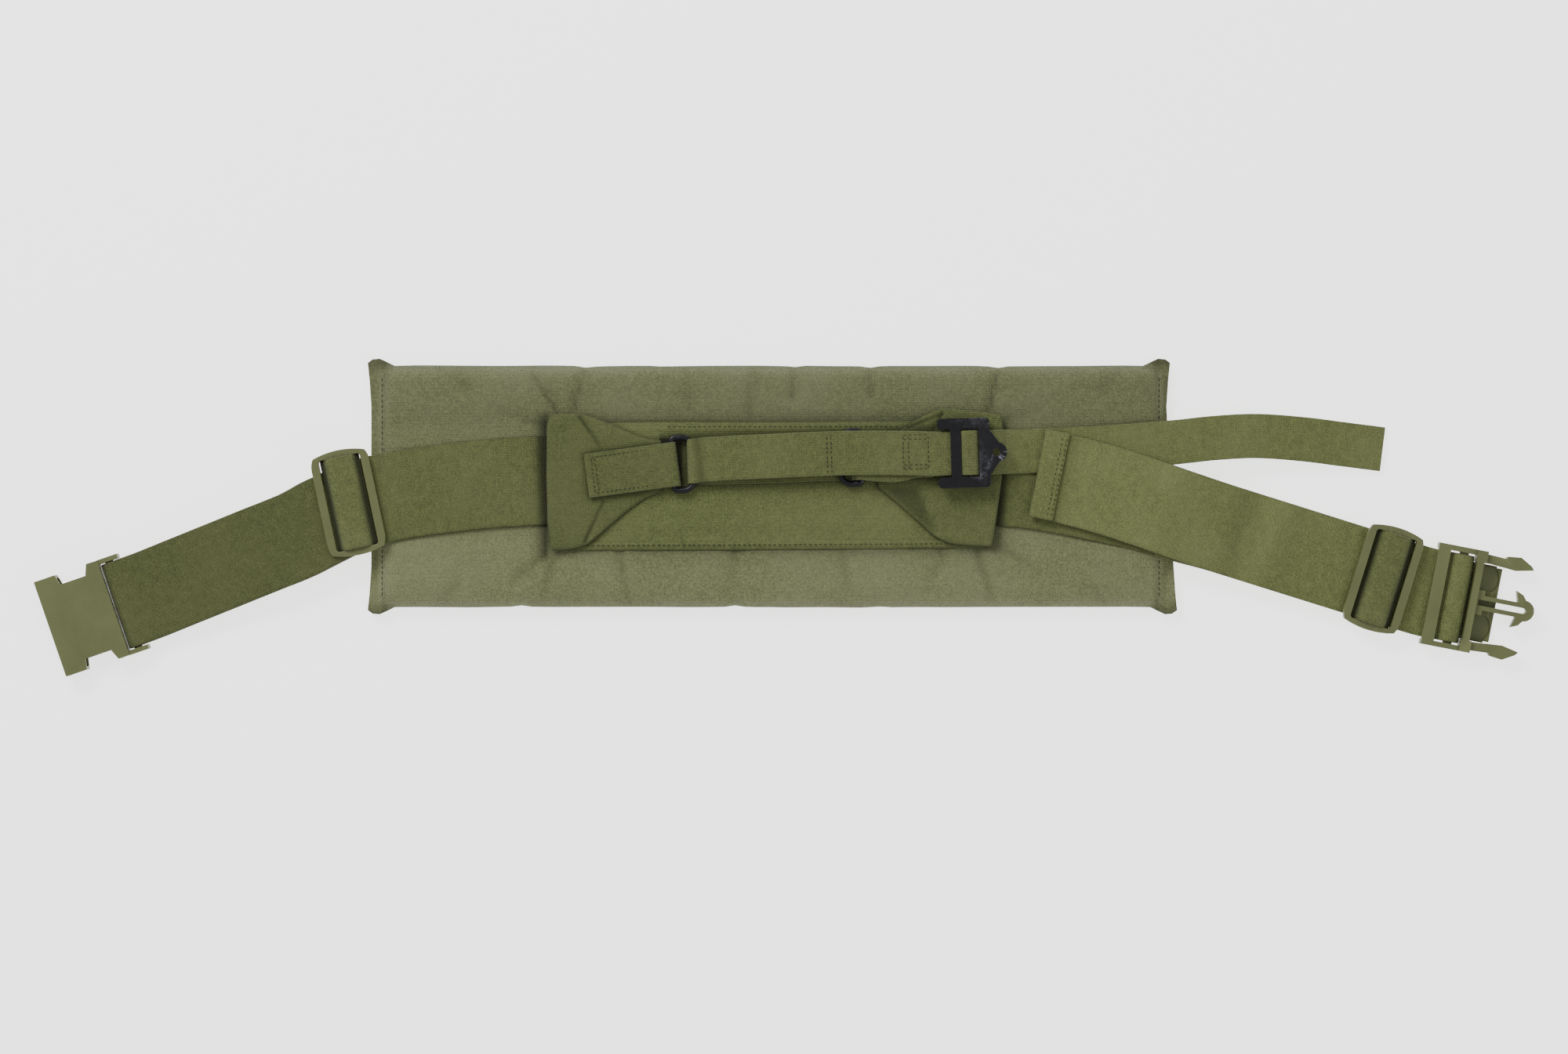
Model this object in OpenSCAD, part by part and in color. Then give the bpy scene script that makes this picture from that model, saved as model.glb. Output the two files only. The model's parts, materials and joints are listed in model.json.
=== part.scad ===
// Padded waist belt for a load-carrying frame: quilted pad, 50 mm belt webbing with two
// adjusters and a side-release buckle, and a wrap panel closed by a 25 mm cinch strap.
// Lies on its inner face, outer face up. Origin at the pad's centre on the inner face.

/* [Pad] */
// Length of the pad, end seam to end seam
pad_l = 449; // [430:1:460]
// Height of the pad, top edge to bottom edge
pad_w = 136; // [120:1:150]
// Thickness of the foam with its cover
pad_t = 12; // [11:0.5:13]
// Thickness of the cover fabric
cover_t = 0.8; // [0.5:0.1:1.2]

/* [Wrap panel] */
// Length of the panel between its folds
panel_l = 255; // [250:1:258]
// Height of the panel
panel_w = 71; // [66:1:76]
// Thickness of the doubled duck
panel_t = 1.2; // [0.8:0.1:1.4]
// Thickness of a folded flap
flap_t = 2; // [1.6:0.1:2.2]

/* [Webbing] */
// Width of the belt webbing
belt_w = 50; // [48:0.5:51]
// Thickness of the belt webbing
belt_t = 1.6; // [1.2:0.1:1.8]
// Width of the cinch strap
strap_w = 25; // [23:0.5:25.4]
// Thickness of the cinch strap
strap_t = 1.3; // [1:0.1:1.4]

/* [Hardware] */
// Length of an adjuster along the belt
glide_l = 33; // [32:0.5:36]
// Length of an adjuster across the belt
glide_w = 60; // [58:0.5:62]
// Thickness of an adjuster
glide_t = 4; // [3.5:0.1:4.2]
// Thickness of the side-release buckle
buckle_t = 12; // [11.5:0.1:13]
// Wire radius of the two rings
wire_r = 1.7; // [1.5:0.05:1.75]
// Hole diameter in the cinch buckle's lifting tab
tab_hole_d = 4.2; // [3:0.1:4.6]

/* [Hidden] */

// Fine and medium roundness
$fn = 48;
small = 0.2;

// Pad: the ends curl about lines at x = +-curl_x, at the height of the belt webbing
curl_x = 140;
curl_gap = 0.8;
curl_half_angle = 21;
pad_slant = 4;
ear = 4;
ear_l = 9;
ear_t = 3;
end_l = pad_l / 2;

// Heights of the layers, from the pad's inner face up
belt_z = pad_t + small;
panel_z = belt_z + belt_t + 0.4;
flap_z = panel_z + panel_t + small;
tab_z = flap_z + flap_t + small;
tab_t = 2.8;
ring_z = panel_z + panel_t + small + wire_r + 0.1 + strap_t + 0.1;
bore_r = wire_r + 0.08;
low_run_z = panel_z + panel_t + 0.1 + strap_t / 2;
high_low_z = ring_z + bore_r + strap_t + 0.3 + strap_t / 2;
high_run_z = high_low_z + strap_t + 0.3;
tail_z = belt_z + belt_t + 0.3 + strap_t / 2;
free_end_z = tail_z + strap_t / 2 + 0.3;

// Routes of the webbing in plan
centre_route = [
    [-curl_x + curl_gap, 2.6], [-curl_x + 4, 2.6], [0, 4.5], [curl_x - 4, 2], [curl_x - curl_gap, 2]
];
left_route = [[-curl_x - curl_gap, 2.6], [-curl_x - 4, 2.6], [-192, -2.6], [-228, -8.6], [-256, -22.6]];
right_route = [[curl_x + curl_gap, 2], [curl_x + 4, 2], [165, -2], [200, -9.5], [236.2, -18.4]];
free_end_route = [[152, 7.2], [190, -2], [236.2, -18]];
tail_route = [[curl_x + 1, 19.4], [190, 21.6], [229.5, 25.2]];

// Frames of the moving pieces: place, turn in plan and slope
left_hinge = [-259.5, -25, belt_z + belt_t + 0.1];
left_turn = 201.84;
left_slope = 4.2;
left_run = 103.2;
right_hinge = [240, -19.5, belt_z + belt_t + 0.4];
right_turn = -17.34;
right_slope = 4.1;
right_run = 133.6;
wing_gap = 4;
buckle_gap = 1.6;
layer_gap = 0.1;
tail_hinge = [233, 25.2, tail_z];
tail_turn = -1.5;
tail_slope = 6.7;
tail_run = 112;
left_glide = [-236.5, -9.1, belt_z + belt_t + 0.3];
left_glide_turn = 192;
right_glide_x = 108.9;
female_turn = 199;
female_place = [-369, -68.1, 0];
male_turn = -11;
male_place = [373.9, -60.5, 0];

// Cinch strap frame: its centre line rises slightly to the right
strap_place = [-54.8, 13.6];
strap_turn = 1.75;
left_ring_turn = 4.7;
left_tab_turn = 187.7;
right_ring_place = [50.5, 16.2];
ring_half = 14.9;
ring_depth = 11.3;
left_tab_l = 48;
right_tab_l = 40;
cinch_place = [94, 18.1];

webbing_green = [0.39, 0.41, 0.24];
pad_green = [0.44, 0.46, 0.32];
plastic_green = [0.41, 0.43, 0.26];
metal_black = [0.07, 0.07, 0.09];
foam_grey = [0.72, 0.72, 0.68];

function unit(v) = v / norm(v);
function side(v) = [-v[1], v[0]];
function step(p, i) = i < 0 || i > len(p) - 2 ? [0, 0] : unit(p[i + 1] - p[i]);
function heading(p, i) = unit(step(p, i) + step(p, i - 1));
// Outline of a ribbon of width w along the centre line p
function ribbon(p, w) = concat(
    [for (i = [0 : len(p) - 1]) p[i] + side(heading(p, i)) * w / 2],
    [for (i = [len(p) - 1 : -1 : 0]) p[i] - side(heading(p, i)) * w / 2]
);

// Flat ribbon lying at height z
module flat_ribbon(route, w, t, z) {
    translate([0, 0, z]) linear_extrude(t) polygon(ribbon(route, w));
}

// Ribbon seen from the side, with its profile in X and Z
module side_ribbon(profile, w, t) {
    rotate([90, 0, 0]) linear_extrude(w, center = true) polygon(ribbon(profile, t));
}

module rounded_slab(l, w, r) {
    square([l - 2 * r, w], center = true);
    square([l, w - 2 * r], center = true);
    for (x = [-1, 1], y = [-1, 1]) translate([x * (l / 2 - r), y * (w / 2 - r)]) circle(r);
}

// ---- pad ----

// Plan of the whole pad, with its slanted right end
module pad_plan(inset) {
    polygon([
        [-end_l + inset, -pad_w / 2 + inset], [end_l + pad_slant / 2 - inset, -pad_w / 2 + inset],
        [end_l - pad_slant / 2 - inset, pad_w / 2 - inset], [-end_l + inset, pad_w / 2 - inset]
    ]);
}

// Side view of the centre block, narrower at the bottom so that the ends can curl inwards
module centre_side(inset) {
    top = curl_x - curl_gap;
    foot = top - pad_t * tan(curl_half_angle);
    slope = tan(curl_half_angle);
    polygon([
        [-foot - inset * slope, inset], [foot + inset * slope, inset],
        [top - inset * slope, pad_t - inset], [-top + inset * slope, pad_t - inset]
    ]);
}

// Side view of a pad end, from the curl line outwards along +X
module end_side(inset) {
    slope = tan(curl_half_angle);
    foot = curl_x + curl_gap + pad_t * slope;
    polygon([
        [foot - inset * slope, inset], [end_l + 9, inset], [end_l + 9, pad_t - inset],
        [curl_x + curl_gap + inset * slope, pad_t - inset]
    ]);
}

module pad_block(inset) {
    intersection() {
        linear_extrude(pad_t) pad_plan(inset);
        rotate([90, 0, 0]) linear_extrude(pad_w, center = true) children();
    }
}

// Corner points where the seams of the cover meet
module ears(x_side) {
    for (y = [-1, 1]) {
        x = x_side * end_l - (x_side > 0 ? y * pad_slant / 2 : 0);
        translate([x - x_side * (ear_l / 2 - 2.5), y * (pad_w / 2 + ear / 2 - 1), pad_t / 2 - ear_t / 2])
            linear_extrude(ear_t) rounded_slab(ear_l, ear + 2, 2.2);
    }
}

module pad_cover_centre() {
    color(pad_green) difference() {
        pad_block(0) centre_side(0);
        pad_block(cover_t) centre_side(cover_t);
    }
}

module pad_cover_left() {
    color(pad_green) {
        difference() {
            union() {
                pad_block(0) mirror([1, 0]) end_side(0);
                ears(-1);
            }
            pad_block(cover_t) mirror([1, 0]) end_side(cover_t);
        }
    }
}

module pad_cover_right() {
    color(pad_green) {
        difference() {
            union() {
                pad_block(0) end_side(0);
                ears(1);
            }
            pad_block(cover_t) end_side(cover_t);
        }
    }
}

module pad_foam_centre() {
    color(foam_grey) pad_block(cover_t + 0.1) centre_side(cover_t + 0.1);
}

module pad_foam_left() {
    color(foam_grey) pad_block(cover_t + 0.1) mirror([1, 0]) end_side(cover_t + 0.1);
}

module pad_foam_right() {
    color(foam_grey) pad_block(cover_t + 0.1) end_side(cover_t + 0.1);
}

// ---- belt webbing on the pad ----

module belt_centre() {
    color(webbing_green) flat_ribbon(centre_route, belt_w, belt_t, belt_z);
}

module belt_left_inner() {
    color(webbing_green) flat_ribbon(left_route, belt_w, belt_t, belt_z);
}

module belt_right_inner() {
    color(webbing_green) flat_ribbon(right_route, belt_w, belt_t, belt_z);
}

module belt_right_free_end() {
    color(webbing_green) flat_ribbon(free_end_route, belt_w, belt_t, free_end_z);
}

// Turned-over end of the belt, sewn down on top of the free end
module free_end_hem() {
    color(webbing_green) translate([150.9, 7.5, free_end_z + belt_t + 0.1]) rotate([0, 0, -11.4])
        translate([0, -belt_w / 2, 0]) cube([17, belt_w, belt_t]);
}

// ---- wrap panel ----

module wrap_panel() {
    color(webbing_green) translate([-126, -panel_w / 2 + 0.5, panel_z]) cube([panel_l, panel_w, panel_t]);
}

module left_flap() {
    color(webbing_green) translate([0, 0, flap_z]) linear_extrude(flap_t) polygon([
        [-125, 38], [-119, 40.7], [-107, 40.7], [-89, 34.5], [-75, 28], [-67, 25],
        [-61, 9], [-64, -3.4], [-102, -32], [-117, -35], [-122, -35], [-125, -20]
    ]);
}

module right_flap() {
    color(webbing_green) translate([0, 0, flap_z]) linear_extrude(flap_t) polygon([
        [74, 33], [95.5, 44], [123, 41], [129, 39.6], [130, 33], [129, 5], [124, -34],
        [100, -31], [91.4, -27], [60, 0], [60, 26]
    ]);
}

// Tab of strap webbing, folded round a ring's bar at the origin and sewn down along -X
module tab(l, turn) {
    difference() {
        union() {
            rotate([90, 0, 0]) cylinder(h = strap_w - 1, r = bore_r + strap_t, center = true);
            rotate([0, 0, turn])
                translate([0, -strap_w / 2 + 0.5, tab_z - ring_z]) cube([l, strap_w - 1, tab_t]);
        }
        rotate([90, 0, 0]) cylinder(h = strap_w + 10, r = bore_r, center = true);
    }
}

module left_tab() {
    color(webbing_green) translate([strap_place[0], strap_place[1] - 1.4, ring_z])
        rotate([0, 0, left_ring_turn]) tab(left_tab_l, left_tab_turn - left_ring_turn);
}

module right_tab() {
    color(webbing_green) translate([right_ring_place[0], right_ring_place[1], ring_z])
        rotate([0, 0, strap_turn]) tab(right_tab_l, 0);
}

// ---- rings ----

// Wire quarter bend of radius r about [x, y], starting at the angle a
module wire_bend(x, y, r, a, wire) {
    translate([x, y, 0]) rotate([0, 0, a]) rotate_extrude(angle = 90) translate([r, 0]) circle(wire, $fn = 32);
}

module wire_x(x0, x1, y, wire) {
    translate([x0, y, 0]) rotate([0, 90, 0]) cylinder(h = x1 - x0, r = wire);
}

module wire_y(x, y1, wire) {
    translate([x, 0, 0]) rotate([90, 0, 0]) cylinder(h = 2 * y1, r = wire, center = true);
}

// D-shaped ring with its straight bar on the Y axis and its bow towards +X
module d_ring(wire) {
    bar_bend = 2.2;
    bow_bend = 6;
    wire_y(0, ring_half - bar_bend, wire);
    wire_y(ring_depth, ring_half - bow_bend, wire);
    for (s = [0, 1]) mirror([0, s, 0]) {
        wire_bend(bar_bend, ring_half - bar_bend, bar_bend, 90, wire);
        wire_x(bar_bend, ring_depth - bow_bend, ring_half, wire);
        wire_bend(ring_depth - bow_bend, ring_half - bow_bend, bow_bend, 0, wire);
    }
}

module left_ring_frame() {
    translate([strap_place[0], strap_place[1] - 1.4, ring_z]) rotate([0, 0, left_ring_turn]) children();
}

module left_ring() {
    color(metal_black) left_ring_frame() d_ring(wire_r);
}

module right_ring() {
    color(metal_black) translate([right_ring_place[0], right_ring_place[1], ring_z])
        rotate([0, 0, strap_turn + 180]) d_ring(wire_r);
}

// ---- cinch strap ----

module strap_frame() {
    translate([strap_place[0], strap_place[1], 0]) rotate([0, 0, strap_turn]) children();
}

bight_r = wire_r + 0.2;
bight_end = 14.4;

// Fold of the strap round the left ring's bow
module strap_bight() {
    color(webbing_green) difference() {
        strap_frame() translate([ring_depth, 0, ring_z]) {
            rotate([90, 0, 0]) cylinder(h = strap_w, r = bight_r + strap_t - 0.1, center = true);
            translate([0, -strap_w / 2, bight_r]) cube([bight_end - ring_depth, strap_w, strap_t - 0.1]);
            translate([0, -strap_w / 2, -bight_r - strap_t + 0.1])
                cube([bight_end - ring_depth, strap_w, strap_t - 0.1]);
        }
        left_ring_frame() d_ring(wire_r + 0.1);
        strap_frame() translate([ring_depth, 0, ring_z])
            rotate([90, 0, 0]) cylinder(h = strap_w + 2, r = bight_r, center = true);
        strap_frame() translate([ring_depth, -strap_w, ring_z - bight_r])
            cube([bight_end, 2 * strap_w, 2 * bight_r]);
    }
}

// Underneath: from the left ring, through the right ring, up over its tab to the buckle
module strap_lower_run() {
    bow_x = right_ring_place[0] - strap_place[0] - ring_depth;
    color(webbing_green) strap_frame() side_ribbon([
        [bight_end + 0.5, low_run_z], [bow_x + 4.6, low_run_z], [bow_x + 7.2, high_low_z - 1.6],
        [bow_x + 10, high_low_z], [147.6, high_low_z]
    ], strap_w, strap_t);
}

// On top: from the left ring to the buckle
module strap_upper_run() {
    color(webbing_green) strap_frame() side_ribbon([
        [bight_end + 0.5, ring_z + bight_r + strap_t / 2], [92, high_run_z - 0.3],
        [104, high_run_z], [147.6, high_run_z]
    ], strap_w, strap_t);
}

module cinch_frame() {
    translate([cinch_place[0], cinch_place[1], 0]) rotate([0, 0, strap_turn]) children();
}

cinch_top_z = high_run_z + strap_t / 2 + 0.4;
cinch_t = 1.8;
cinch_bar_x = 17.2;
cinch_bar_z = high_low_z + strap_t / 2 + 1.4;

// Lifting tab: a rounded triangle
module cinch_tab_plan() {
    difference() {
        union() {
            polygon([[26, -12], [29, -12], [34.5, -4.2], [34.5, 4.2], [29, 12], [26, 12]]);
            translate([32.6, 0]) circle(5.4);
        }
        translate([32.1, 0]) circle(tab_hole_d / 2);
    }
}

module cinch_buckle() {
    color(metal_black) cinch_frame() {
        for (s = [-1, 1]) translate([0, s * 16.4, cinch_top_z - 3.8]) linear_extrude(3.8 + cinch_t)
            translate([14, 0]) rounded_slab(29, 6, 2.2);
        translate([6.7, -14.2, cinch_top_z]) cube([5.6, 28.4, cinch_t]);
        translate([22.4, -14.2, cinch_top_z]) cube([6.1, 28.4, cinch_t]);
        translate([cinch_bar_x, 0, cinch_bar_z]) rotate([90, 0, 0]) cylinder(h = 28.4, r = 1.2, center = true);
        translate([0, 0, cinch_top_z]) linear_extrude(cinch_t) cinch_tab_plan();
    }
}

// Under the first bar, over the round bar and under the plate
module strap_in_buckle() {
    hump = high_run_z + 3.6;
    color(webbing_green) cinch_frame() side_ribbon([
        [1, high_run_z], [12.6, high_run_z], [13.8, hump], [20.6, hump], [21.8, high_run_z],
        [29, high_run_z - 0.2]
    ], strap_w, strap_t);
}

// Sewn end of the strap, round the buckle's round bar from below
module strap_anchor() {
    loop_r = 1.3;
    color(webbing_green) cinch_frame() difference() {
        union() {
            side_ribbon([[1, high_low_z], [cinch_bar_x, cinch_bar_z - loop_r - 0.5]], strap_w, 1);
            translate([cinch_bar_x, 0, cinch_bar_z]) rotate([90, 0, 0])
                cylinder(h = strap_w, r = loop_r + 1, center = true);
        }
        translate([cinch_bar_x, 0, cinch_bar_z]) rotate([90, 0, 0])
            cylinder(h = strap_w + 2, r = loop_r, center = true);
    }
}

module strap_tail_root() {
    color(webbing_green) translate([0, 19, 0]) rotate([0, 0, 0.6]) side_ribbon([
        [124.6, high_run_z - 0.6], [128, high_run_z - 2.4], [132.5, tail_z + 3.4],
        [136, tail_z + 0.6], [curl_x - 1, tail_z]
    ], strap_w, strap_t);
}

module strap_tail_middle() {
    color(webbing_green) flat_ribbon(tail_route, strap_w, strap_t, tail_z - strap_t / 2);
}

module strap_tail() {
    color(webbing_green) translate(tail_hinge) rotate([0, 0, tail_turn]) rotate([0, tail_slope, 0])
        side_ribbon([[2.6, 0], [tail_run, 0]], strap_w, strap_t);
}

// ---- adjusters ----

// Plan of an adjuster: arched ends and two slots beside the middle bar
module glide_plan() {
    arch = 3;
    arch_r = (pow(glide_l / 2, 2) + arch * arch) / (2 * arch);
    slot_w = 7.6;
    slot_x = 8;
    difference() {
        intersection() {
            rounded_slab(glide_l, glide_w + 8, 13);
            translate([0, arch_r - glide_w / 2]) circle(arch_r, $fn = 160);
            translate([0, glide_w / 2 - arch_r]) circle(arch_r, $fn = 160);
        }
        for (x = [-slot_x, slot_x]) translate([x, 0]) rounded_slab(slot_w, belt_w + 2, 1.6);
    }
}

module adjuster() {
    linear_extrude(glide_t) glide_plan();
}

// Belt webbing over the middle bar of an adjuster
module adjuster_loop() {
    crown = glide_t + small + belt_t / 2;
    side_ribbon([[-8.6, 0.9], [-6.6, crown - 0.4], [-5, crown], [5, crown], [6.6, crown - 0.4], [8.6, 0.9]],
        belt_w, belt_t);
}

module left_glide_frame() {
    translate(left_glide) rotate([0, 0, left_glide_turn]) children();
}

module left_adjuster() {
    color(plastic_green) left_glide_frame() adjuster();
}

module left_adjuster_loop() {
    color(webbing_green) left_glide_frame() adjuster_loop();
}

// ---- wings ----

module left_wing_frame() {
    translate(left_hinge) rotate([0, 0, left_turn]) rotate([0, left_slope, 0]) children();
}

module right_wing_frame() {
    translate(right_hinge) rotate([0, 0, right_turn]) rotate([0, right_slope, 0]) children();
}

// One layer of a wing: layer is 1 for the upper and -1 for the lower one
module wing_layer(l, layer) {
    z = layer * (belt_t / 2 + layer_gap);
    side_ribbon([[wing_gap, z], [l - buckle_gap, z]], belt_w, belt_t);
}

module left_wing_lower() {
    color(webbing_green) left_wing_frame() wing_layer(left_run, -1);
}

module left_wing_upper() {
    color(webbing_green) left_wing_frame() wing_layer(left_run, 1);
}

module right_wing_lower() {
    color(webbing_green) right_wing_frame() wing_layer(right_run, -1);
}

module right_wing_upper() {
    color(webbing_green) right_wing_frame() wing_layer(right_run, 1);
}

module right_glide_frame() {
    right_wing_frame() translate([right_glide_x, 0, belt_t + layer_gap + 0.3]) children();
}

module right_adjuster() {
    color(plastic_green) right_glide_frame() adjuster();
}

module right_adjuster_loop() {
    color(webbing_green) right_glide_frame() adjuster_loop();
}

// ---- female buckle ----

module female_frame() {
    translate(female_place) rotate([0, 0, female_turn]) children();
}

female_l = 37.6;
bar_x = -5.5;
bar_r = 2.4;
wall = 1.8;

// Plan of the top and bottom plates: waisted between the shoulders and the mouth
module female_plan() {
    polygon([
        [0, -28], [6.5, -28.2], [9, -22], [24, -22], [25.3, -28], [female_l, -28],
        [female_l, 28], [25.3, 28], [24, 22], [9, 22], [6.5, 28.2], [0, 28]
    ]);
}

module female_buckle() {
    color(plastic_green) female_frame() {
        difference() {
            linear_extrude(buckle_t) female_plan();
            translate([wall, -26.2, wall]) cube([female_l, 52.4, buckle_t - 2 * wall]);
        }
        for (s = [-1, 1]) {
            translate([-11.4, s * 26.9 - 1.3, 1.2]) cube([12, 2.6, buckle_t - 2.4]);
            translate([6, s * 7.4 - 0.8, wall - 0.2]) cube([10, 1.6, buckle_t - 2 * wall + 0.4]);
        }
        translate([bar_x, 0, buckle_t / 2]) rotate([90, 0, 0]) cylinder(h = 52, r = bar_r, center = true);
    }
}

// Belt webbing round the female buckle's bar
module female_buckle_loop() {
    outer = bar_r + 0.2 + belt_t;
    mid = buckle_t / 2;
    start = -14.5 + buckle_gap;
    color(webbing_green) female_frame() difference() {
        union() {
            translate([bar_x, 0, mid]) rotate([90, 0, 0]) cylinder(h = belt_w, r = outer, center = true);
            rotate([90, 0, 0]) linear_extrude(belt_w, center = true) polygon([
                [start, mid - 1.8], [start, mid + 1.8], [bar_x, mid + outer], [bar_x, mid - outer]
            ]);
        }
        translate([bar_x, 0, mid]) rotate([90, 0, 0])
            cylinder(h = belt_w + 2, r = bar_r + 0.2, center = true);
    }
}

// ---- male buckle ----

module male_frame() {
    translate(male_place) rotate([0, 0, male_turn]) children();
}

arm_x = 21.5;
arm_y = 25.2;
arm_low = 3;
arm_high = buckle_t - 3;

// Anchor-shaped centre prong with a long slit
module prong_plan() {
    difference() {
        union() {
            translate([21, -4.2]) square([28, 8.4]);
            translate([21, -7]) square([6, 14]);
            polygon([[44.4, 10.4], [48.5, 8.6], [51.5, 4.5], [51.5, -4.5], [48.5, -8.6], [44.4, -10.4],
                     [46.2, -4.2], [46.2, 4.2]]);
            translate([50, 0]) circle(6);
        }
        translate([24, -1.6]) square([26, 3.2]);
        translate([50, 0]) circle(1.6);
    }
}

// D-shaped recess in the base plate, on the side y > 0
module recess_plan() {
    intersection() {
        translate([24.6, 7]) square([9.6, 13.6]);
        translate([25.5, 13.8]) circle(8.8);
    }
}

module male_buckle() {
    color(plastic_green) male_frame() difference() {
        union() {
            translate([-3.5, -29, 6.9]) cube([7, 58, 3.3]);
            for (s = [-1, 1]) translate([-3.5, s * 27.5 - 1.5, 1.6]) cube([23, 3, 8.6]);
            translate([9, -27, 4.5]) cube([5, 54, 3.1]);
            translate([19, -29, 0.6]) cube([4, 58, buckle_t - 1.2]);
            for (s = [-1, 1]) translate([18.2, s * 25.6 - 3.4, 0.6]) cube([6.2, 6.8, buckle_t - 1.2]);
            translate([22, -21, 0.6]) cube([13, 42, 2]);
            translate([0, 0, arm_low]) linear_extrude(arm_high - arm_low) prong_plan();
            translate([12, -22, 0]) cube([20, 44, 0.8]);
        }
        for (s = [0, 1]) mirror([0, s, 0]) {
            translate([0, 0, 1.6]) linear_extrude(1.2) recess_plan();
            translate([arm_x, arm_y, arm_low - 0.3]) cylinder(h = arm_high - arm_low + 0.6, r = 2.9);
            translate([arm_x, arm_y - 3.2, arm_low - 0.3]) cube([6, 6.8, arm_high - arm_low + 0.6]);
        }
    }
}

// Spring arm on the side y > 0, with its barbed head
module arm_plan() {
    translate([arm_x, arm_y]) circle(2.5);
    polygon([
        [arm_x, arm_y - 2.5], [30, 22.3], [42, 21.3], [51.6, 23.4], [50, 25.4], [43.2, 29.3], [36, 28.4],
        [35, 27], [arm_x, arm_y + 2.5]
    ]);
}

module upper_arm() {
    color(plastic_green) male_frame() translate([0, 0, arm_low])
        linear_extrude(arm_high - arm_low) arm_plan();
}

module lower_arm() {
    color(plastic_green) male_frame() mirror([0, 1, 0]) translate([0, 0, arm_low])
        linear_extrude(arm_high - arm_low) arm_plan();
}

// Belt webbing under the rear bar and round the middle bar
module male_buckle_loop() {
    start = -6.5 + buckle_gap + 0.7;
    color(webbing_green) male_frame() side_ribbon([
        [start, 5.6], [4.4, 5.3], [7.6, 8.8], [15, 8.8], [17, 6.5], [17, 4.6], [15, 2.6], [start, 3.6]
    ], belt_w, belt_t - 0.2);
}

pad_foam_centre();
pad_foam_left();
pad_foam_right();
pad_cover_centre();
pad_cover_left();
pad_cover_right();
belt_centre();
belt_left_inner();
belt_right_inner();
belt_right_free_end();
free_end_hem();
wrap_panel();
left_flap();
right_flap();
left_tab();
right_tab();
left_ring();
right_ring();
strap_bight();
strap_lower_run();
strap_upper_run();
cinch_buckle();
strap_in_buckle();
strap_anchor();
strap_tail_root();
strap_tail_middle();
strap_tail();
left_adjuster();
left_adjuster_loop();
left_wing_lower();
left_wing_upper();
female_buckle();
female_buckle_loop();
right_wing_lower();
right_wing_upper();
right_adjuster();
right_adjuster_loop();
male_buckle();
male_buckle_loop();
upper_arm();
lower_arm();
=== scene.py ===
import bisect
import json
import math

import bmesh
import bpy
import numpy as np
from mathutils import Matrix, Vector, noise


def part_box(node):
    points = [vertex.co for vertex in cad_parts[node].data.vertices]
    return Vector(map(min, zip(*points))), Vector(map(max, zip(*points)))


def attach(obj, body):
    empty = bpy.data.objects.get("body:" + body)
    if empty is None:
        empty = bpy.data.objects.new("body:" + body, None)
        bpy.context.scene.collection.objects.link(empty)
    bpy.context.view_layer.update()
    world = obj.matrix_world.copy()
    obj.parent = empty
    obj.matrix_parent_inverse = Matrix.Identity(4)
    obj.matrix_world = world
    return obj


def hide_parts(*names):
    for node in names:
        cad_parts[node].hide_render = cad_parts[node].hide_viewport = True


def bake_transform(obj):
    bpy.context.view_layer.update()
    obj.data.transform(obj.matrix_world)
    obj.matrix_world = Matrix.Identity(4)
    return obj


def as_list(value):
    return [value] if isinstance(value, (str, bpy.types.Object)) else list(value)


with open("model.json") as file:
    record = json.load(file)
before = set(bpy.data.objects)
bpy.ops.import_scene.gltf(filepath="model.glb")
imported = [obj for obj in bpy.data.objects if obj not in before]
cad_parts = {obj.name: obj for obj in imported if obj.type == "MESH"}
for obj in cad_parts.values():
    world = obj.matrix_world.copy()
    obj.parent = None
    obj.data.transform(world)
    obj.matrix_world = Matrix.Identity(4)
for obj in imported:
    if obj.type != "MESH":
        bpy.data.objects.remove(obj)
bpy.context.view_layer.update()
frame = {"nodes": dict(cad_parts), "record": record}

MM = 0.001
BEHAVIOUR = frame["record"]["behaviour"]
JOINTS = {j["name"]: j for j in BEHAVIOUR["joints"]}


def hinge(name):
    """A hinge's place, in millimetres."""
    return Vector(JOINTS[name]["pos_m"]) / MM


def box_mm(node):
    low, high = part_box(node)
    return Vector(low) / MM, Vector(high) / MM


# Sizes in millimetres
BELT_W, BELT_T = 50.0, 1.6
STRAP_W, STRAP_T = 25.0, 1.3
PANEL_T = 1.2
LAYER_GAP = 0.3
RING_WIRE_R = 1.7
# From a ring's bar to its bow
RING_REACH = 11.3
LEFT_TAB_LENGTH, RIGHT_TAB_LENGTH = 48.5, 40
# The female buckle's bar, that the webbing goes round
FEMALE_BAR, FEMALE_BAR_R = Vector((-363.8, -66.3, 6.0)), 2.4
# Where the cinch strap starts at the left ring, in plan
STRAP_X, STRAP_Y = -54.8, 13.6
# Turns in plan, in degrees
STRAP_TURN, LEFT_TAB_TURN, LEFT_ADJUSTER_TURN, FREE_END_TURN = 1.75, 7.7, 12.0, -11.4
PAD_TOP = 12.0
PAD_HALF_L, PAD_HALF_W, PAD_SLANT = 224.5, 68.0, 2.0
EAR = 4.0
SEAM_Z = 4.6
BELT_Z = box_mm("belt_centre")[0].z + BELT_T / 2
PANEL_Z = box_mm("wrap_panel")[0].z
FLAP_Z = box_mm("left_flap")[0].z
TAB_Z = FLAP_Z + 2.2
RING_Z = hinge("left_ring_swing").z
LOW_RUN_Z = PANEL_Z + PANEL_T + 0.1 + STRAP_T / 2
HIGH_RUN_Z = box_mm("strap_upper_run")[1].z - STRAP_T / 2
HIGH_LOW_Z = HIGH_RUN_Z - STRAP_T - LAYER_GAP
TAIL_Z = BELT_Z + BELT_T / 2 + LAYER_GAP + STRAP_T / 2
FREE_END_Z = TAIL_Z + STRAP_T / 2 + LAYER_GAP + BELT_T / 2


# ---- materials ----

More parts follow.
